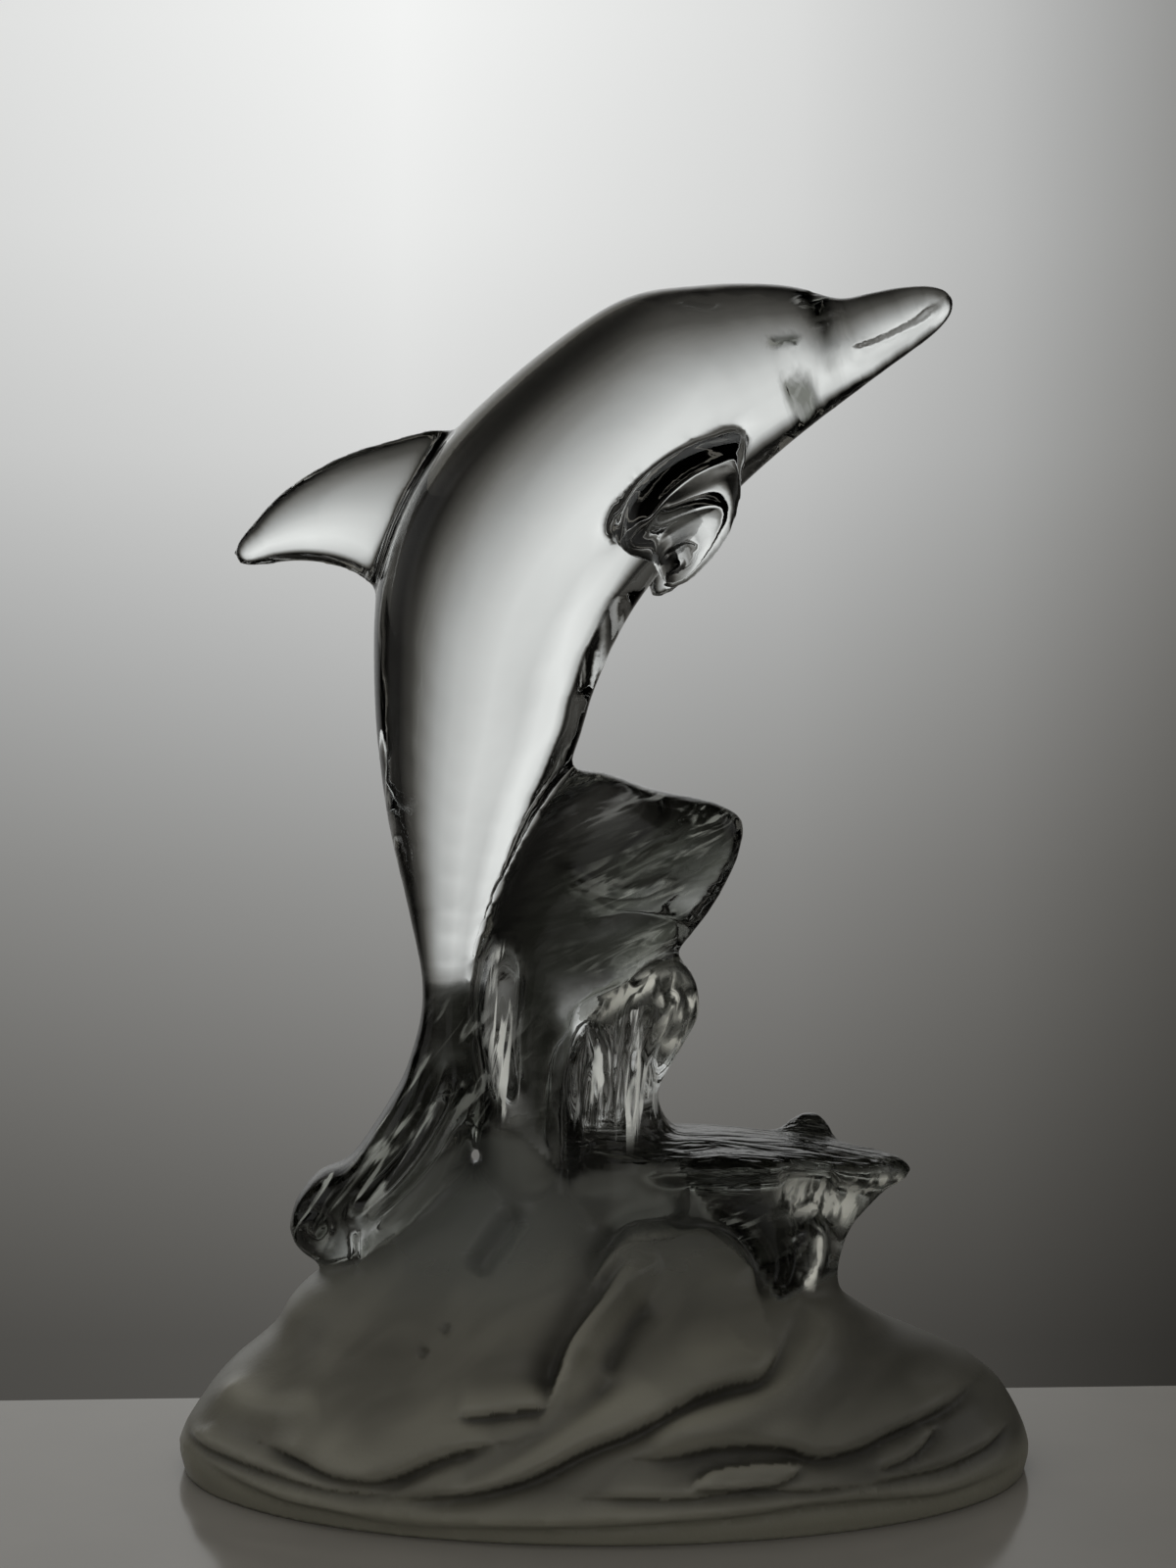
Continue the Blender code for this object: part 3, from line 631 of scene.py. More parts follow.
# %% [markdown]
# Two finishes share the one casting. Colours are written as sRGB hex and turned to linear by one
# function. One more function adds a node with its settings and links: a link may come from a node,
# from one of its outputs, or be a plain number or colour.

# %% Helpers for colours and nodes
def linear(hex_colour):
    channels = [int(hex_colour[k : k + 2], 16) / 255 for k in (1, 3, 5)]
    return [c / 12.92 if c <= 0.04045 else ((c + 0.055) / 1.055) ** 2.4 for c in channels] + [1.0]


def add_node(tree, kind, settings=(), **links):
    node = tree.nodes.new("ShaderNode" + kind)
    for name, value in dict(settings).items():
        if name in node.inputs:
            node.inputs[name].default_value = value
        else:
            setattr(node, name, value)
    for name, source in links.items():
        key = int(name[1:]) if name[1:].isdigit() else name.replace("_", " ")
        if isinstance(source, bpy.types.Node):
            source = next(socket for socket in source.outputs if socket.enabled)
        if isinstance(source, bpy.types.NodeSocket):
            tree.links.new(source, node.inputs[key])
        else:
            node.inputs[key].default_value = linear(source) if isinstance(source, str) else source
    return node


def blank_material(name):
    material = bpy.data.materials.new(name)
    material.use_nodes = True
    material.node_tree.nodes.clear()
    return material, material.node_tree


TIMES = {"operation": "MULTIPLY"}
OVER = {"operation": "DIVIDE"}
PLUS = {"operation": "ADD"}
LESS = {"operation": "SUBTRACT"}
POWER = {"operation": "POWER"}
LARGER = {"operation": "MAXIMUM"}
SMALLER = {"operation": "MINIMUM"}
UNSIGNED = {"operation": "ABSOLUTE"}
COLOURS = {"data_type": "RGBA"}
print("mid grey #808080 in linear light:", [round(value, 3) for value in linear("#808080")])

# %% [markdown]
# Everything in this glass was drawn out as it flowed, so its patterns are noises that are longer one
# way than another and turned in the side view. Each has a turn in degrees, the length of its grain
# across, into and up the figurine in millimetres, and how much it is stirred.

# %% Noise drawn out along the flow
FLOW = {
    "streaks": (-24, (13.0, 5.0, 1.9), 1.5),
    "patches": (-30, (14.0, 12.0, 7.0), 0.6),
    "strands": (-55, (15.0, 5.0, 2.2), 0.8),
    "upright": (5, (1.4, 5.0, 15.0), 0.7),
    "running": (3, (14.0, 3.0, 2.2), 0.6),
    "cloud": (-35, (24.0, 16.0, 9.0), 0.8),
    "struck": (15, (2.6, 3.0, 5.2), 0.8),
}


def drawn_noise(tree, places, name):
    turn, grain, stirred = FLOW[name]
    turned = (0.0, math.radians(turn), 0.0)
    sizes = [length * MM for length in grain]
    settings = {"vector_type": "TEXTURE", "Rotation": turned, "Scale": sizes}
    drawn_out = add_node(tree, "Mapping", settings, Vector=places)
    settings = {"Scale": 1.0, "Detail": 2.5, "Distortion": stirred}
    return add_node(tree, "TexNoise", settings, Vector=drawn_out)


def rising(low, high):
    curve = "SMOOTHSTEP" if low < high else "LINEAR"
    return {"From Min": low, "From Max": high, "interpolation_type": curve}


print("patterns:", ", ".join(FLOW))

# %% [markdown]
# Polished lead-free crystal: fire-polished, colourless and heavy. Its IOR of 1.53 bends what is
# behind it upside down and left to right, and its edges turn black where the light comes from beside
# the backdrop. The mould leaves the faintest waviness, a very low bump a few millimetres across. The
# churned glass is rougher, and the top of the tongue is rippled like running water.

# %% Wavy skin of the crystal
CRYSTAL_IOR = 1.53
WAVINESS = 9.0


def wavy_skin(tree, places, patches, marks):
    ripple = add_node(tree, "TexNoise", {"Scale": 1 / (WAVINESS * MM), "Detail": 1.0}, Vector=places)
    calm = add_node(tree, "Bump", {"Strength": 0.2, "Distance": 0.2 * MM}, Height=ripple)
    churn, rippled = marks["churning_and_shade"], marks["rippled"]
    rough = add_node(tree, "Bump", {"Distance": 0.4 * MM}, Strength=churn, Height=patches, Normal=calm)
    running = drawn_noise(tree, places, "running")
    return add_node(tree, "Bump", {"Distance": 1.6 * MM}, Strength=rippled, Height=running, Normal=rough)


# %% [markdown]
# Where the glass was churned as it was pressed, it is tinted dark with painted shade, and only pale
# wisps of painted light show in it: bundles of fine streaks to the right of the crest, and strands
# that run down the sweep. The rippled top of the tongue has none.

# %% Painted light wisps in the painted shade of the churned glass
def painted_light_wisps(tree, places, patches, marks):
    # pale streaks of painted light through the churned glass
    streaks = drawn_noise(tree, places, "streaks")
    strands = drawn_noise(tree, places, "strands")
    across = add_node(tree, "SeparateXYZ", (), Vector=places).outputs["X"]
    in_patches = add_node(tree, "MapRange", rising(0.44, 0.6), Value=patches)
    rightward = add_node(tree, "MapRange", rising(-14.0 * MM, 8.0 * MM), Value=across)
    outer = add_node(tree, "Math", TIMES, _0=in_patches, _1=rightward)
    bright = add_node(tree, "MapRange", rising(0.46, 0.64), Value=streaks)
    bundles = add_node(tree, "Math", TIMES, _0=bright, _1=outer)
    drawn_down = add_node(tree, "MapRange", rising(0.5, 0.64), Value=strands)
    drains = add_node(tree, "Math", TIMES, _0=drawn_down, _1=marks["sweeping"])
    unrippled = add_node(tree, "Math", LESS, _0=marks["churning_and_shade"], _1=marks["rippled"])
    still = add_node(tree, "Math", LARGER, _0=unrippled, _1=0.0)
    both = add_node(tree, "Math", LARGER, _0=bundles, _1=drains)
    return add_node(tree, "Math", TIMES, _0=both, _1=still)


# %% [markdown]
# In the breaking curl upright white veils are painted light. Veils and wisps are milky: they let
# less light through and scatter it, so their pale painted light shows.

# %% Polished crystal glass
# the dark knot tint is painted shade on the churned glass; the wisp and veil tints are painted light
CLEAR_TINT, KNOT_SHADE_TINT, WISP_LIGHT_TINT, VEIL_LIGHT_TINT = "#F6F8F7", "#43453F", "#A9ACA5", "#F4F6F0"


def polished_crystal():
    material, tree = blank_material("polished_crystal_glass")
    places = add_node(tree, "TexCoord").outputs["Object"]
    marks = {
        name: add_node(tree, "Attribute", {"attribute_name": name}).outputs["Fac"]
        for name in ("churning_and_shade", "rippled", "sweeping", "veil_light")
    }
    patches = drawn_noise(tree, places, "patches")
    light_wisps = painted_light_wisps(tree, places, patches, marks)
    upright = drawn_noise(tree, places, "upright")
    standing = add_node(tree, "MapRange", rising(0.5, 0.6), Value=upright)
    # pale upright veils of painted light in the curl
    veil_light = add_node(tree, "Math", TIMES, _0=standing, _1=marks["veil_light"])
    # painted shade of the churned glass, with painted light wisps in it
    shade_and_light_wisps = add_node(tree, "Mix", COLOURS, _0=light_wisps, _6=KNOT_SHADE_TINT, _7=WISP_LIGHT_TINT)
    painted_shade_tint = add_node(tree, "Mix", COLOURS, _0=marks["churning_and_shade"], _6=CLEAR_TINT, _7=shade_and_light_wisps)
    tint = add_node(tree, "Mix", COLOURS, _0=veil_light, _6=painted_shade_tint, _7=VEIL_LIGHT_TINT)
    faint = add_node(tree, "Math", TIMES, _0=light_wisps, _1=0.7)
    painted_light_share = add_node(tree, "Math", LARGER, _0=veil_light, _1=faint)
    clear = add_node(tree, "MapRange", {"To Min": 1.0, "To Max": 0.15}, Value=painted_light_share)
    scatter = add_node(tree, "Math", TIMES, _0=painted_light_share, _1=0.3)
    wavy = wavy_skin(tree, places, patches, marks)
    sockets = {"Base_Color": tint, "Transmission_Weight": clear, "Roughness": scatter, "Normal": wavy}
    shader = add_node(tree, "BsdfPrincipled", {"IOR": CRYSTAL_IOR}, **sockets)
    add_node(tree, "OutputMaterial", (), Surface=shader)
    return material


crystal = polished_crystal()
print(crystal.name, "with", len(crystal.node_tree.nodes), "nodes")

# %% [markdown]
# Satin-etched glass: the base was dipped or brushed with acid, which leaves a skin of tiny pits.
# Light still goes through, but it comes out soft, and the skin itself catches the light like stone,
# an olive grey. The hollows are darkened with painted shade and the ridges lightened with a painted
# highlight, and the lip of every fold has a painted highlight with a painted shadow line under it, so
# every fold shows. The right side is darkened with painted shade.

# %% Tint of the etched folds, with painted shade and highlights
def fold_tint_and_shade(tree, across, cloud, marks):
    relief, edges = marks["relief"], marks["edges"]
    clouded = add_node(tree, "MapRange", rising(0.34, 0.64), Value=cloud)
    brushed = add_node(tree, "Mix", COLOURS, _0=clouded, _6="#393730", _7="#625F54")
    # painted highlight on raised folds, painted shade in the hollows
    ridge_highlight_share = add_node(tree, "MapRange", rising(-1.6, 1.7), Value=relief)
    painted_fold_shade = add_node(tree, "Mix", COLOURS, _0=ridge_highlight_share, _6="#2B2A25", _7="#9A9788")
    toned = add_node(tree, "Mix", COLOURS, _0=0.55, _6=brushed, _7=painted_fold_shade)
    # painted highlight along the lip of every fold
    lip_highlight_share = add_node(tree, "Math", LARGER, _0=edges, _1=0.0)
    lip_highlight_strength = add_node(tree, "Math", TIMES, _0=lip_highlight_share, _1=0.5)
    lip_highlighted = add_node(tree, "Mix", COLOURS, _0=lip_highlight_strength, _6=toned, _7="#AFAC9E")
    # painted shadow line under every lip
    under_lip = add_node(tree, "Math", SMALLER, _0=edges, _1=0.0)
    lip_shadow_strength = add_node(tree, "Math", TIMES, _0=under_lip, _1=-0.6)
    lip_shadowed = add_node(tree, "Mix", COLOURS, _0=lip_shadow_strength, _6=lip_highlighted, _7="#191814")
    # painted shade towards the right of the base
    rightward = add_node(tree, "MapRange", rising(-5.0 * MM, 50.0 * MM), Value=across)
    right_shade_share = add_node(tree, "Math", TIMES, _0=rightward, _1=0.6)
    return add_node(tree, "Mix", COLOURS, _0=right_shade_share, _6=lip_shadowed, _7="#2E2D28")


# %% [markdown]
# High on the mound, near the edge of the bath, the satin has painted light on the left, paler and
# cooler, and painted shade on the right, under the wave. Round the foot runs a paler edge.

# %% Tint by place on the mound, with painted light and shade
def mound_tint_and_shade(tree, parts, shaded_skin_tint):
    # painted shade high on the mound under the wave, on the right
    high_up = add_node(tree, "MapRange", rising(24.0 * MM, 46.0 * MM), Value=parts["Z"])
    leftward = add_node(tree, "MapRange", rising(-2.0 * MM, -16.0 * MM), Value=parts["X"])
    rest = add_node(tree, "Math", LESS, _0=0.6, _1=leftward)
    shade_under_wave_share = add_node(tree, "Math", TIMES, _0=high_up, _1=rest)
    painted_shade_under_wave = add_node(tree, "Mix", COLOURS, _0=shade_under_wave_share, _6=shaded_skin_tint, _7="#2E2F2A")
    # painted light high on the mound on the left, paler and cooler
    some = add_node(tree, "Math", TIMES, _0=leftward, _1=0.6)
    left_light_share = add_node(tree, "Math", TIMES, _0=high_up, _1=some)
    painted_light_left = add_node(tree, "Mix", COLOURS, _0=left_light_share, _6=painted_shade_under_wave, _7="#686D6A")
    low_down = add_node(tree, "MapRange", rising(8.0 * MM, 3.0 * MM), Value=parts["Z"])
    foot_edge = add_node(tree, "Math", TIMES, _0=low_down, _1=0.7)
    return add_node(tree, "Mix", COLOURS, _0=foot_edge, _6=painted_light_left, _7="#8E8B7B")


# %% [markdown]
# At the struck facets under the tongue and in the curl the satin is frosted and tinted near white, a
# painted highlight. The pits of the acid are far finer than a picture shows, so they are drawn 0.7 mm
# apart.

# %% Satin-etched glass
PITS = 0.7


def satin_glass():
    material, tree = blank_material("satin_etched_glass")
    places = add_node(tree, "TexCoord").outputs["Object"]
    marks = {
        name: add_node(tree, "Attribute", {"attribute_name": name}).outputs["Fac"]
        for name in ("relief", "edges", "frost_and_highlight", "etching")
    }
    parts = add_node(tree, "SeparateXYZ", (), Vector=places).outputs
    cloud = drawn_noise(tree, places, "cloud")
    # frosted facets, which also get a painted highlight
    struck = add_node(tree, "MapRange", rising(0.36, 0.6), Value=drawn_noise(tree, places, "struck"))
    frost_and_highlight = add_node(tree, "Math", TIMES, _0=marks["frost_and_highlight"], _1=struck)
    bath = add_node(tree, "Math", LARGER, _0=marks["etching"], _1=frost_and_highlight)
    shaded_skin_tint = mound_tint_and_shade(tree, parts, fold_tint_and_shade(tree, parts["X"], cloud, marks))
    # painted highlight: the frosted facets are tinted near white
    highlighted_frost = add_node(tree, "Mix", COLOURS, _0=frost_and_highlight, _6=shaded_skin_tint, _7="#F0F0E6")
    tint = add_node(tree, "Mix", COLOURS, _0=bath, _6="#8F918B", _7=highlighted_frost)
    haze = add_node(tree, "MapRange", {"To Min": 0.26, "To Max": 0.42}, Value=cloud)
    scatter = add_node(tree, "Math", TIMES, _0=bath, _1=haze)
    milk = add_node(tree, "Math", TIMES, _0=bath, _1=0.5)
    bright_milk = add_node(tree, "Math", TIMES, _0=frost_and_highlight, _1=0.4)
    thickness = add_node(tree, "Math", PLUS, _0=milk, _1=bright_milk)
    clear = add_node(tree, "Math", LESS, _0=1.0, _1=thickness)
    pits = add_node(tree, "TexNoise", {"Scale": 1 / (PITS * MM), "Detail": 2.0}, Vector=places)
    pitted = add_node(tree, "Bump", {"Strength": 0.35, "Distance": 0.1 * MM}, Height=pits)
    sockets = {"Base_Color": tint, "Transmission_Weight": clear, "Roughness": scatter, "Normal": pitted}
    shader = add_node(tree, "BsdfPrincipled", {"IOR": CRYSTAL_IOR}, **sockets)
    add_node(tree, "OutputMaterial", (), Surface=shader)
    return material


satin = satin_glass()
print(satin.name, "with", len(satin.node_tree.nodes), "nodes")

# %% [markdown]
# The finishes need to know where they are. Each kind of glass has areas drawn as the folds are, as
# seen from the front: a reach in millimetres and a line. Facets are the struck, frosted faces under
# the tongue and in the curl, which get a painted highlight. Churned glass, darkened with painted shade,
# fills the crest, the tail stock, the sweep, the root of the tongue, the notch of the brow and the eye.

# %% Areas of frosted, churned, swept and veiled glass
FACETS = [
    (4.2, [(33.4, 45.0), (37.6, 44.4), (41.0, 43.4)]),
    (1.9, [(43.6, 46.4), (50.0, 46.8)]),
    (1.3, [(36.4, 41.0), (36.8, 36.0), (35.0, 30.0)]),
    (2.0, [(-1.0, 76.4), (3.0, 78.8), (8.0, 81.4)]),
    (3.4, [(11.0, 80.0), (13.8, 77.0), (12.0, 72.0)]),
]
TONGUE_PLATE = (6.5, [(0.0, 50.6), (16.0, 50.8), (34.0, 50.6), (50.0, 50.0)])
CHURNED = [
    (12.0, [(-9.0, 88.0), (-4.0, 97.0), (5.0, 101.0), (16.0, 105.0)]),
    (6.0, [(-10.0, 84.0), (0.0, 86.0), (12.0, 91.0)]),
    (5.6, [(-24.6, 77.0), (-24.4, 70.0), (-23.0, 62.0), (-20.0, 55.0)]),
    (8.5, [(-31.0, 64.0), (-36.0, 56.0), (-43.0, 47.0), (-49.0, 40.0)]),
    (5.0, [(-12.0, 80.0), (-11.0, 70.0), (-10.0, 58.0)]),
    (8.5, [(10.0, 46.0), (20.0, 42.0), (27.0, 37.0), (30.0, 30.0)]),
    (2.6, [(35.4, 197.8), (36.6, 195.4)]),
    (1.1, [(28.8, 190.4), (32.4, 190.9)]),
    TONGUE_PLATE,
]
SWEPT = [(9.0, [(-22.0, 70.0), (-27.0, 62.0), (-36.0, 54.0), (-46.0, 44.0)])]
VEILED = [
    (6.5, [(2.0, 60.0), (4.0, 70.0), (9.0, 78.0), (14.0, 78.0)]),
    (2.4, [(-17.0, 85.0), (-17.6, 72.0), (-16.0, 60.0)]),
]

points = vectors_of(skin.vertices, "co") / MM
front = points[:, 1] < 0
seen = np.where(front[:, None], drawn_places(points, -1), drawn_places(points, 1))


def nearness(areas):
    shares = [np.exp(-((beside_line(seen, np.array(line))[0] / reach) ** 4)) for reach, line in areas]
    return np.max(shares, axis=0)


# facets that are frosted and get a painted highlight
frost_and_highlight = nearness(FACETS)
print("points in frosted facets:", int((frost_and_highlight > 0.5).sum()))

# %% [markdown]
# The churned glass ends at the smooth flank of the body, along a line given as height and distance
# from the middle. Every area is kept on the skin as an attribute that the finishes read.

# %% Keep the areas on the skin
FLANK_LINE = [(66.0, -60.0), (80.0, -33.0), (82.0, -20.5), (94.0, -18.0), (108.0, -12.0), (118.0, -5.0)]


def keep_on_skin(name, values):
    layer = skin.attributes.new(name, "FLOAT", "POINT")
    layer.data.foreach_set("value", values.astype(np.float32))


past_flank = np.clip((seen[:, 0] - np.interp(seen[:, 1], *zip(*FLANK_LINE))) / 1.5, 0.0, 1.0)
# churned glass: a rougher bump and a dark tint of painted shade
churning_and_shade = nearness(CHURNED) * past_flank * (1.0 - frost_and_highlight)
keep_on_skin("frost_and_highlight", frost_and_highlight)
keep_on_skin("churning_and_shade", churning_and_shade)
# where the curl gets its veils of painted light
keep_on_skin("veil_light", nearness(VEILED))
keep_on_skin("sweeping", nearness(SWEPT))
keep_on_skin("rippled", nearness([TONGUE_PLATE]))
print("points in churned glass:", int((churning_and_shade > 0.5).sum()))

# %% [markdown]
# The acid bath reaches up to an uneven line: it stops under the wave and the tongue. The line is
# drawn as it is seen from the front, distance from the middle and height. Every point of the skin
# keeps how far it was etched: nothing above the line, all of it below, and a little less high up,
# where the bath was thin.

# %% How far the skin is etched
ETCH_LINE = [
    (-80.0, 33.0), (-42.0, 33.3), (-36.0, 43.3), (-29.3, 50.0), (-22.7, 54.2), (-18.5, 55.0),
    (-14.3, 54.2), (-10.2, 50.0), (-6.0, 46.7), (-2.7, 48.3), (12.3, 49.7), (14.0, 45.8),
    (20.7, 38.3), (25.7, 33.3), (29.8, 26.7), (35.7, 30.0), (39.3, 31.7), (80.0, 31.7),
]
ETCH_FADE = 1.4
THIN_ABOVE = 30.0

below = np.interp(seen[:, 0], *zip(*ETCH_LINE)) - seen[:, 1]
thinning = 1.0 - 0.35 * np.clip((points[:, 2] - THIN_ABOVE) / 14.0, 0.0, 1.0)
etching = np.clip(0.5 + below / ETCH_FADE, 0.0, 1.0) * thinning
keep_on_skin("etching", etching)
print("etched points:", int((etching > 0).sum()), "of", len(points))

# %% [markdown]
# The faces that are etched or struck at all get the satin finish, the rest the polish. The new skin
# rides on the root and stands in for the imported solid, which is hidden.

# %% Finish each face
corners = np.empty(len(skin.loops), dtype=np.int32)
skin.loops.foreach_get("vertex_index", corners)
starts = np.empty(len(skin.polygons), dtype=np.int32)
skin.polygons.foreach_get("loop_start", starts)
etched = np.maximum.reduceat(np.maximum(etching, frost_and_highlight - 0.02)[corners], starts) > 0

skin.materials.append(crystal)
skin.materials.append(satin)
skin.polygons.foreach_set("material_index", etched.astype(np.int32))
skin.polygons.foreach_set("use_smooth", np.ones(len(skin.polygons), dtype=bool))
skin.update()
print("etched faces:", int(etched.sum()), "of", len(etched))

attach(figurine, "root")
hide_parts("dolphin_figurine")

# %% [markdown]
# Glass is seen by what stands behind it. The backdrop is one soft glow, brightest at the upper left
# and falling off to the sides, up and down. It is made in the world, so it has no edge of its own.
# Direction across and up is divided by direction away, which is where a flat backdrop far off would
# be crossed. Each pair is such a place and how bright it is.

# %% Glow of the backdrop
ACROSS_GLOW = [
    (-1.4, 0.1), (-1.1, 0.8), (-0.8, 1.0), (-0.5, 1.0), (-0.32, 0.92), (-0.1, 1.0), (0.11, 0.9),
    (0.22, 0.78), (0.32, 0.61), (0.5, 0.32), (0.8, 0.1),
]
UP_GLOW = [
    (-1.5, 0.1), (-0.6, 0.25), (-0.3, 0.35), (-0.05, 0.6), (0.18, 0.87), (0.3, 0.95), (0.42, 0.99),
    (0.75, 0.9), (1.1, 0.45), (1.6, 0.1),
]


def glow_ramp(tree, value, stops):
    low, high = stops[0][0], stops[-1][0]
    place = add_node(tree, "MapRange", {"From Min": low, "From Max": high}, Value=value)
    ramp = add_node(tree, "ValToRGB", (), Fac=place)
    elements = ramp.color_ramp.elements
    while len(elements) > 1:
        elements.remove(elements[0])
    for index, (at, level) in enumerate(stops):
        element = elements[0] if index == 0 else elements.new((at - low) / (high - low))
        element.position = (at - low) / (high - low)
        element.color = (level, level, level, 1.0)
    return ramp


world = bpy.data.worlds.new("backdrop")
bpy.context.scene.world = world
world.use_nodes = True
tree = world.node_tree
tree.nodes.clear()
direction = add_node(tree, "TexCoord").outputs["Generated"]
parts = add_node(tree, "SeparateXYZ", (), Vector=direction).outputs
away = add_node(tree, "Math", LARGER, _0=parts["Y"], _1=0.05)
across = add_node(tree, "Math", OVER, _0=parts["X"], _1=away)
up = add_node(tree, "Math", OVER, _0=parts["Z"], _1=away)
across_glow = glow_ramp(tree, across, ACROSS_GLOW)
up_glow = glow_ramp(tree, up, UP_GLOW)
level = add_node(tree, "Math", TIMES, _0=across_glow, _1=up_glow)
behind = add_node(tree, "MapRange", rising(0.0, 0.3), Value=parts["Y"])
shown = add_node(tree, "Math", TIMES, _0=level, _1=behind)
print("backdrop glow with", len(tree.nodes), "nodes")

# %% [markdown]
# The rest of the studio is dim, which draws the dark edges of the glass. Narrow weak panels stand
# squarely at the two sides and in front, and a still weaker curtain closes the front, so the glass
# does not turn black when it is looked at from there.

# %% What the glass sees of the studio
STUDIO_DIM = 0.07
PANEL_LEVEL = 0.6
CURTAIN_SHARE = 0.5

across_squared = add_node(tree, "Math", TIMES, _0=parts["X"], _1=parts["X"])
away_squared = add_node(tree, "Math", TIMES, _0=parts["Y"], _1=parts["Y"])
flat_squared = add_node(tree, "Math", PLUS, _0=across_squared, _1=away_squared)
flat_root = add_node(tree, "Math", POWER, _0=flat_squared, _1=0.5)
flat_length = add_node(tree, "Math", LARGER, _0=flat_root, _1=0.05)
steepness = add_node(tree, "Math", OVER, _0=parts["Z"], _1=flat_length)
up_wall = glow_ramp(tree, steepness, UP_GLOW)
sideways = add_node(tree, "Math", UNSIGNED, _0=parts["X"])
backward = add_node(tree, "Math", TIMES, _0=parts["Y"], _1=-1.0)
widest = add_node(tree, "Math", LARGER, _0=sideways, _1=backward)
squarely = add_node(tree, "Math", OVER, _0=widest, _1=flat_length)
facing = add_node(tree, "Math", OVER, _0=backward, _1=flat_length)
closed = add_node(tree, "MapRange", rising(0.15, 0.45), Value=facing)
curtain = add_node(tree, "Math", TIMES, _0=closed, _1=CURTAIN_SHARE)
panels = add_node(tree, "MapRange", rising(0.92, 0.985), Value=squarely)
closed_off = add_node(tree, "Math", LARGER, _0=panels, _1=curtain)
hung = add_node(tree, "Math", TIMES, _0=closed_off, _1=up_wall)
panel = add_node(tree, "Math", TIMES, _0=hung, _1=PANEL_LEVEL)
lit = add_node(tree, "Math", LARGER, _0=shown, _1=panel)
for_glass = add_node(tree, "Math", LARGER, _0=lit, _1=STUDIO_DIM)
print("studio round the glass with", len(tree.nodes), "nodes")

# %% [markdown]
# Seen directly, the glow goes over into pale paper round the rest of the studio. What is looked at,
# also in and through the glass, is the glow itself; what lights the skin is an even soft fill.

# %% What the eye sees, and the light it gives
PAPER_LEVEL = 0.9
FILL_LEVEL = 0.85

ahead = add_node(tree, "Math", OVER, _0=parts["Y"], _1=flat_length)
frontal = add_node(tree, "MapRange", rising(0.55, 0.85), Value=ahead)
paper = add_node(tree, "Math", TIMES, _0=up_wall, _1=PAPER_LEVEL)
for_eye = add_node(tree, "Mix", (), _0=frontal, _2=paper, _3=shown)
path = add_node(tree, "LightPath").outputs
chosen = add_node(tree, "Mix", (), _0=path["Is Camera Ray"], _2=for_glass, _3=for_eye)
light_level = add_node(tree, "Math", POWER, _0=chosen, _1=2.2)
bright = add_node(tree, "MapRange", rising(0.15, 0.75), Value=chosen)
paper_tint = add_node(tree, "Mix", COLOURS, _0=bright, _6="#F6F1E6", _7="#F6F7F6")
glow = add_node(tree, "Background", (), Color=paper_tint, Strength=light_level)
fill = add_node(tree, "Background", {"Strength": FILL_LEVEL}, Color="#F4F3F0")
seen_directly = add_node(tree, "Math", LARGER, _0=path["Is Camera Ray"], _1=path["Is Glossy Ray"])
seen_at_all = add_node(tree, "Math", LARGER, _0=seen_directly, _1=path["Is Transmission Ray"])
mixed = add_node(tree, "MixShader", (), _0=seen_at_all, _1=fill, _2=glow)
add_node(tree, "OutputWorld", (), Surface=mixed)
print("whole world with", len(tree.nodes), "nodes")

# %% [markdown]
# The figurine stands on a pale, faintly glossy shelf, a flat board of satin paint. Its rear edge runs
# close behind the figurine and is turned a little. The paint is almost even, with the faintest marks.

# %% Shelf
SHELF_REAR = 0.034
SHELF_FRONT = -0.6
SHELF_SIDE = 1.5
SHELF_THICK = 0.03
SHELF_TURN = 2.2
JUST_UNDER = 0.0001
PAINT_MARKS = 25.0

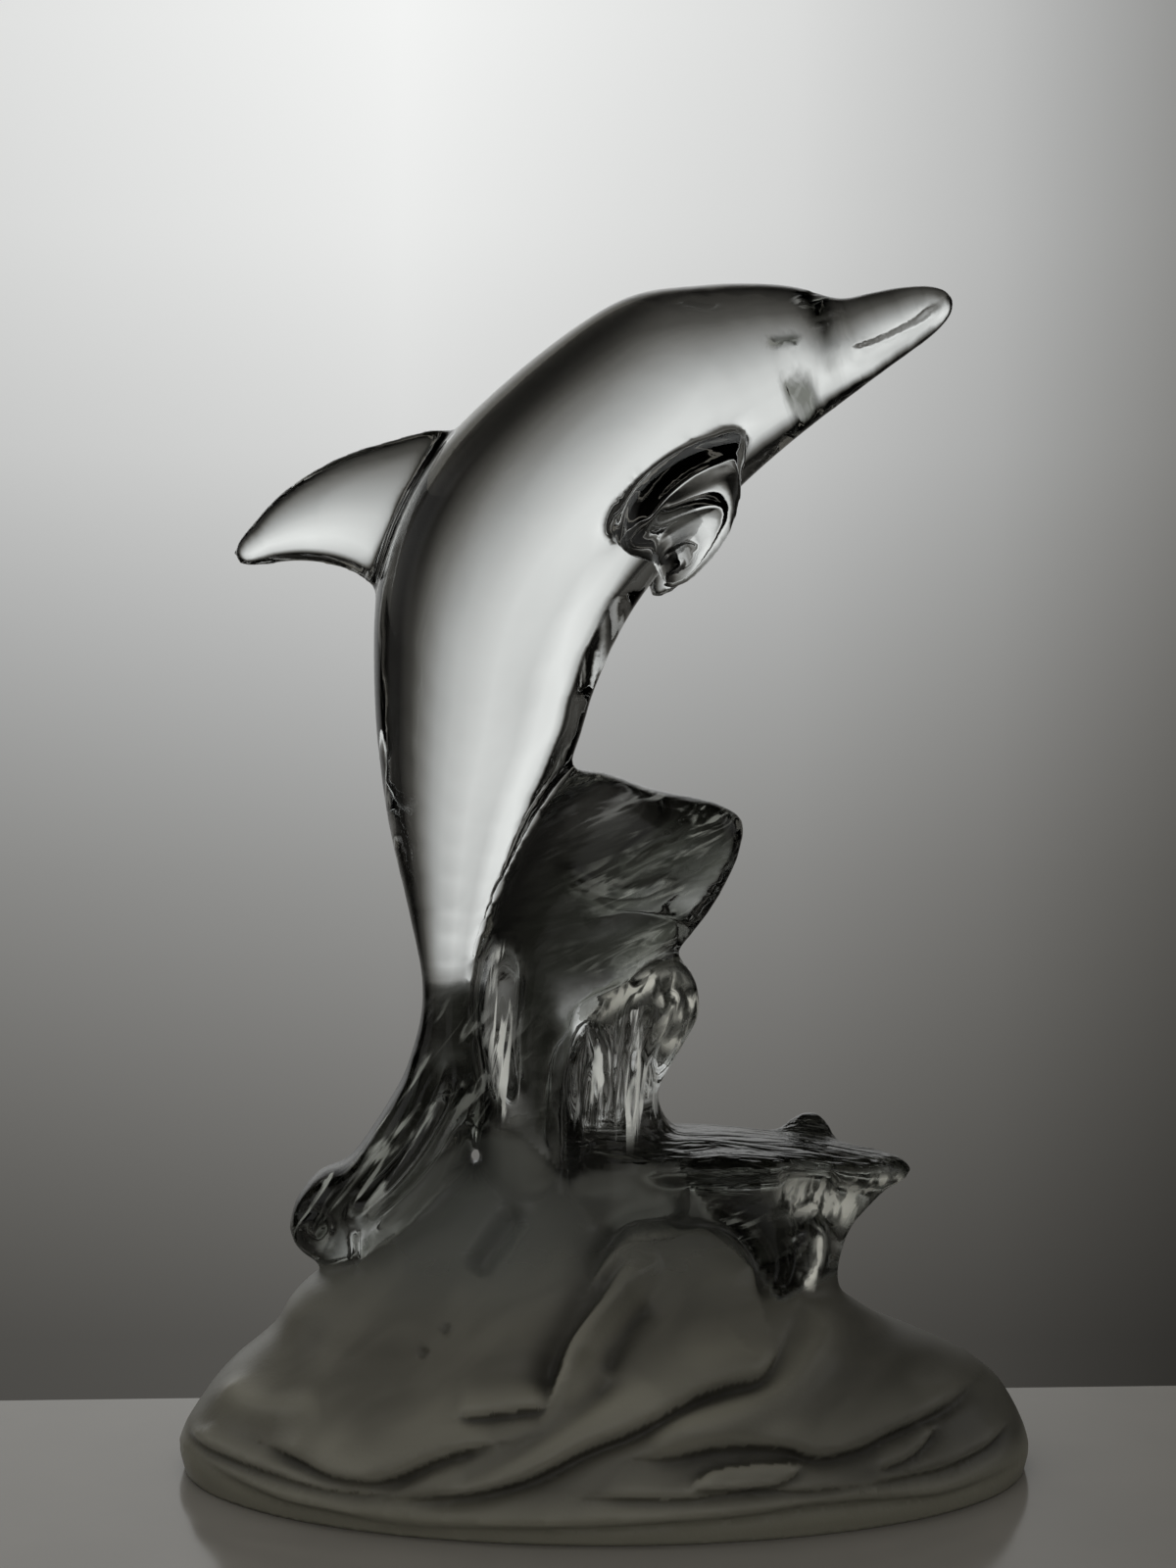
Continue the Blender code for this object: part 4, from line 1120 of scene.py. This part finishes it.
board = bmesh.new()
bmesh.ops.create_cube(board, size=1.0)
board_size = (2 * SHELF_SIDE, SHELF_REAR - SHELF_FRONT, SHELF_THICK)
board_middle = (0, (SHELF_REAR + SHELF_FRONT) / 2, -SHELF_THICK / 2 - JUST_UNDER)
board_turn = Matrix.Rotation(math.radians(SHELF_TURN), 3, "Z")
bmesh.ops.scale(board, verts=board.verts, vec=board_size)
bmesh.ops.translate(board, verts=board.verts, vec=board_middle)
bmesh.ops.rotate(board, verts=board.verts, cent=(0, 0, 0), matrix=board_turn)
shelf_mesh = bpy.data.meshes.new("shelf")
board.to_mesh(shelf_mesh)
board.free()
shelf = bpy.data.objects.new("shelf", shelf_mesh)
bpy.context.scene.collection.objects.link(shelf)
print("shelf:", [round(size, 3) for size in shelf.dimensions], "metres")

# %% Satin paint
painted, tree = blank_material("satin_painted_wood")
places = add_node(tree, "TexCoord").outputs["Object"]
marks = add_node(tree, "TexNoise", {"Scale": 1 / (PAINT_MARKS * MM), "Detail": 3.0}, Vector=places)
shade = add_node(tree, "Mix", COLOURS, _0=marks, _6="#585651", _7="#615E59")
paint = add_node(tree, "BsdfPrincipled", {"Roughness": 0.14}, Base_Color=shade)
add_node(tree, "OutputMaterial", (), Surface=paint)
shelf_mesh.materials.append(painted)
print("shelf paint:", painted.name)

# %% [markdown]
# One large soft lamp hangs over the figurine. It is wide and close, so its light is soft, and it is
# only strong enough that a colour renders about as it is written. It is not seen in the glass itself,
# where it would lie as a grey veil over the back.

# %% Soft light
LAMP_WATTS = 2.5

soft = bpy.data.lights.new("soft_overhead", "AREA")
soft.shape = "RECTANGLE"
soft.size = 0.9
soft.size_y = 0.6
soft.energy = LAMP_WATTS
overhead = bpy.data.objects.new("soft_overhead", soft)
overhead.location = (-0.3, 0.1, 0.8)
overhead.rotation_euler = (math.radians(-6), math.radians(-18), 0)
overhead.visible_glossy = False
overhead.visible_transmission = False
bpy.context.scene.collection.objects.link(overhead)
print("lamp:", soft.energy, "W over", soft.size, "by", round(soft.size_y, 2), "m")

# %% [markdown]
# Light crosses many skins of glass on its way through fins and wave, so it may bounce more often than
# usual. Colours are shown plainly, with no film look over them.

# %% Bounces and colour view
GLASS_BOUNCES = 24

scene = bpy.context.scene
scene.view_settings.view_transform = "Standard"
scene.cycles.max_bounces = GLASS_BOUNCES
scene.cycles.transmission_bounces = GLASS_BOUNCES
print("bounces:", scene.cycles.transmission_bounces)
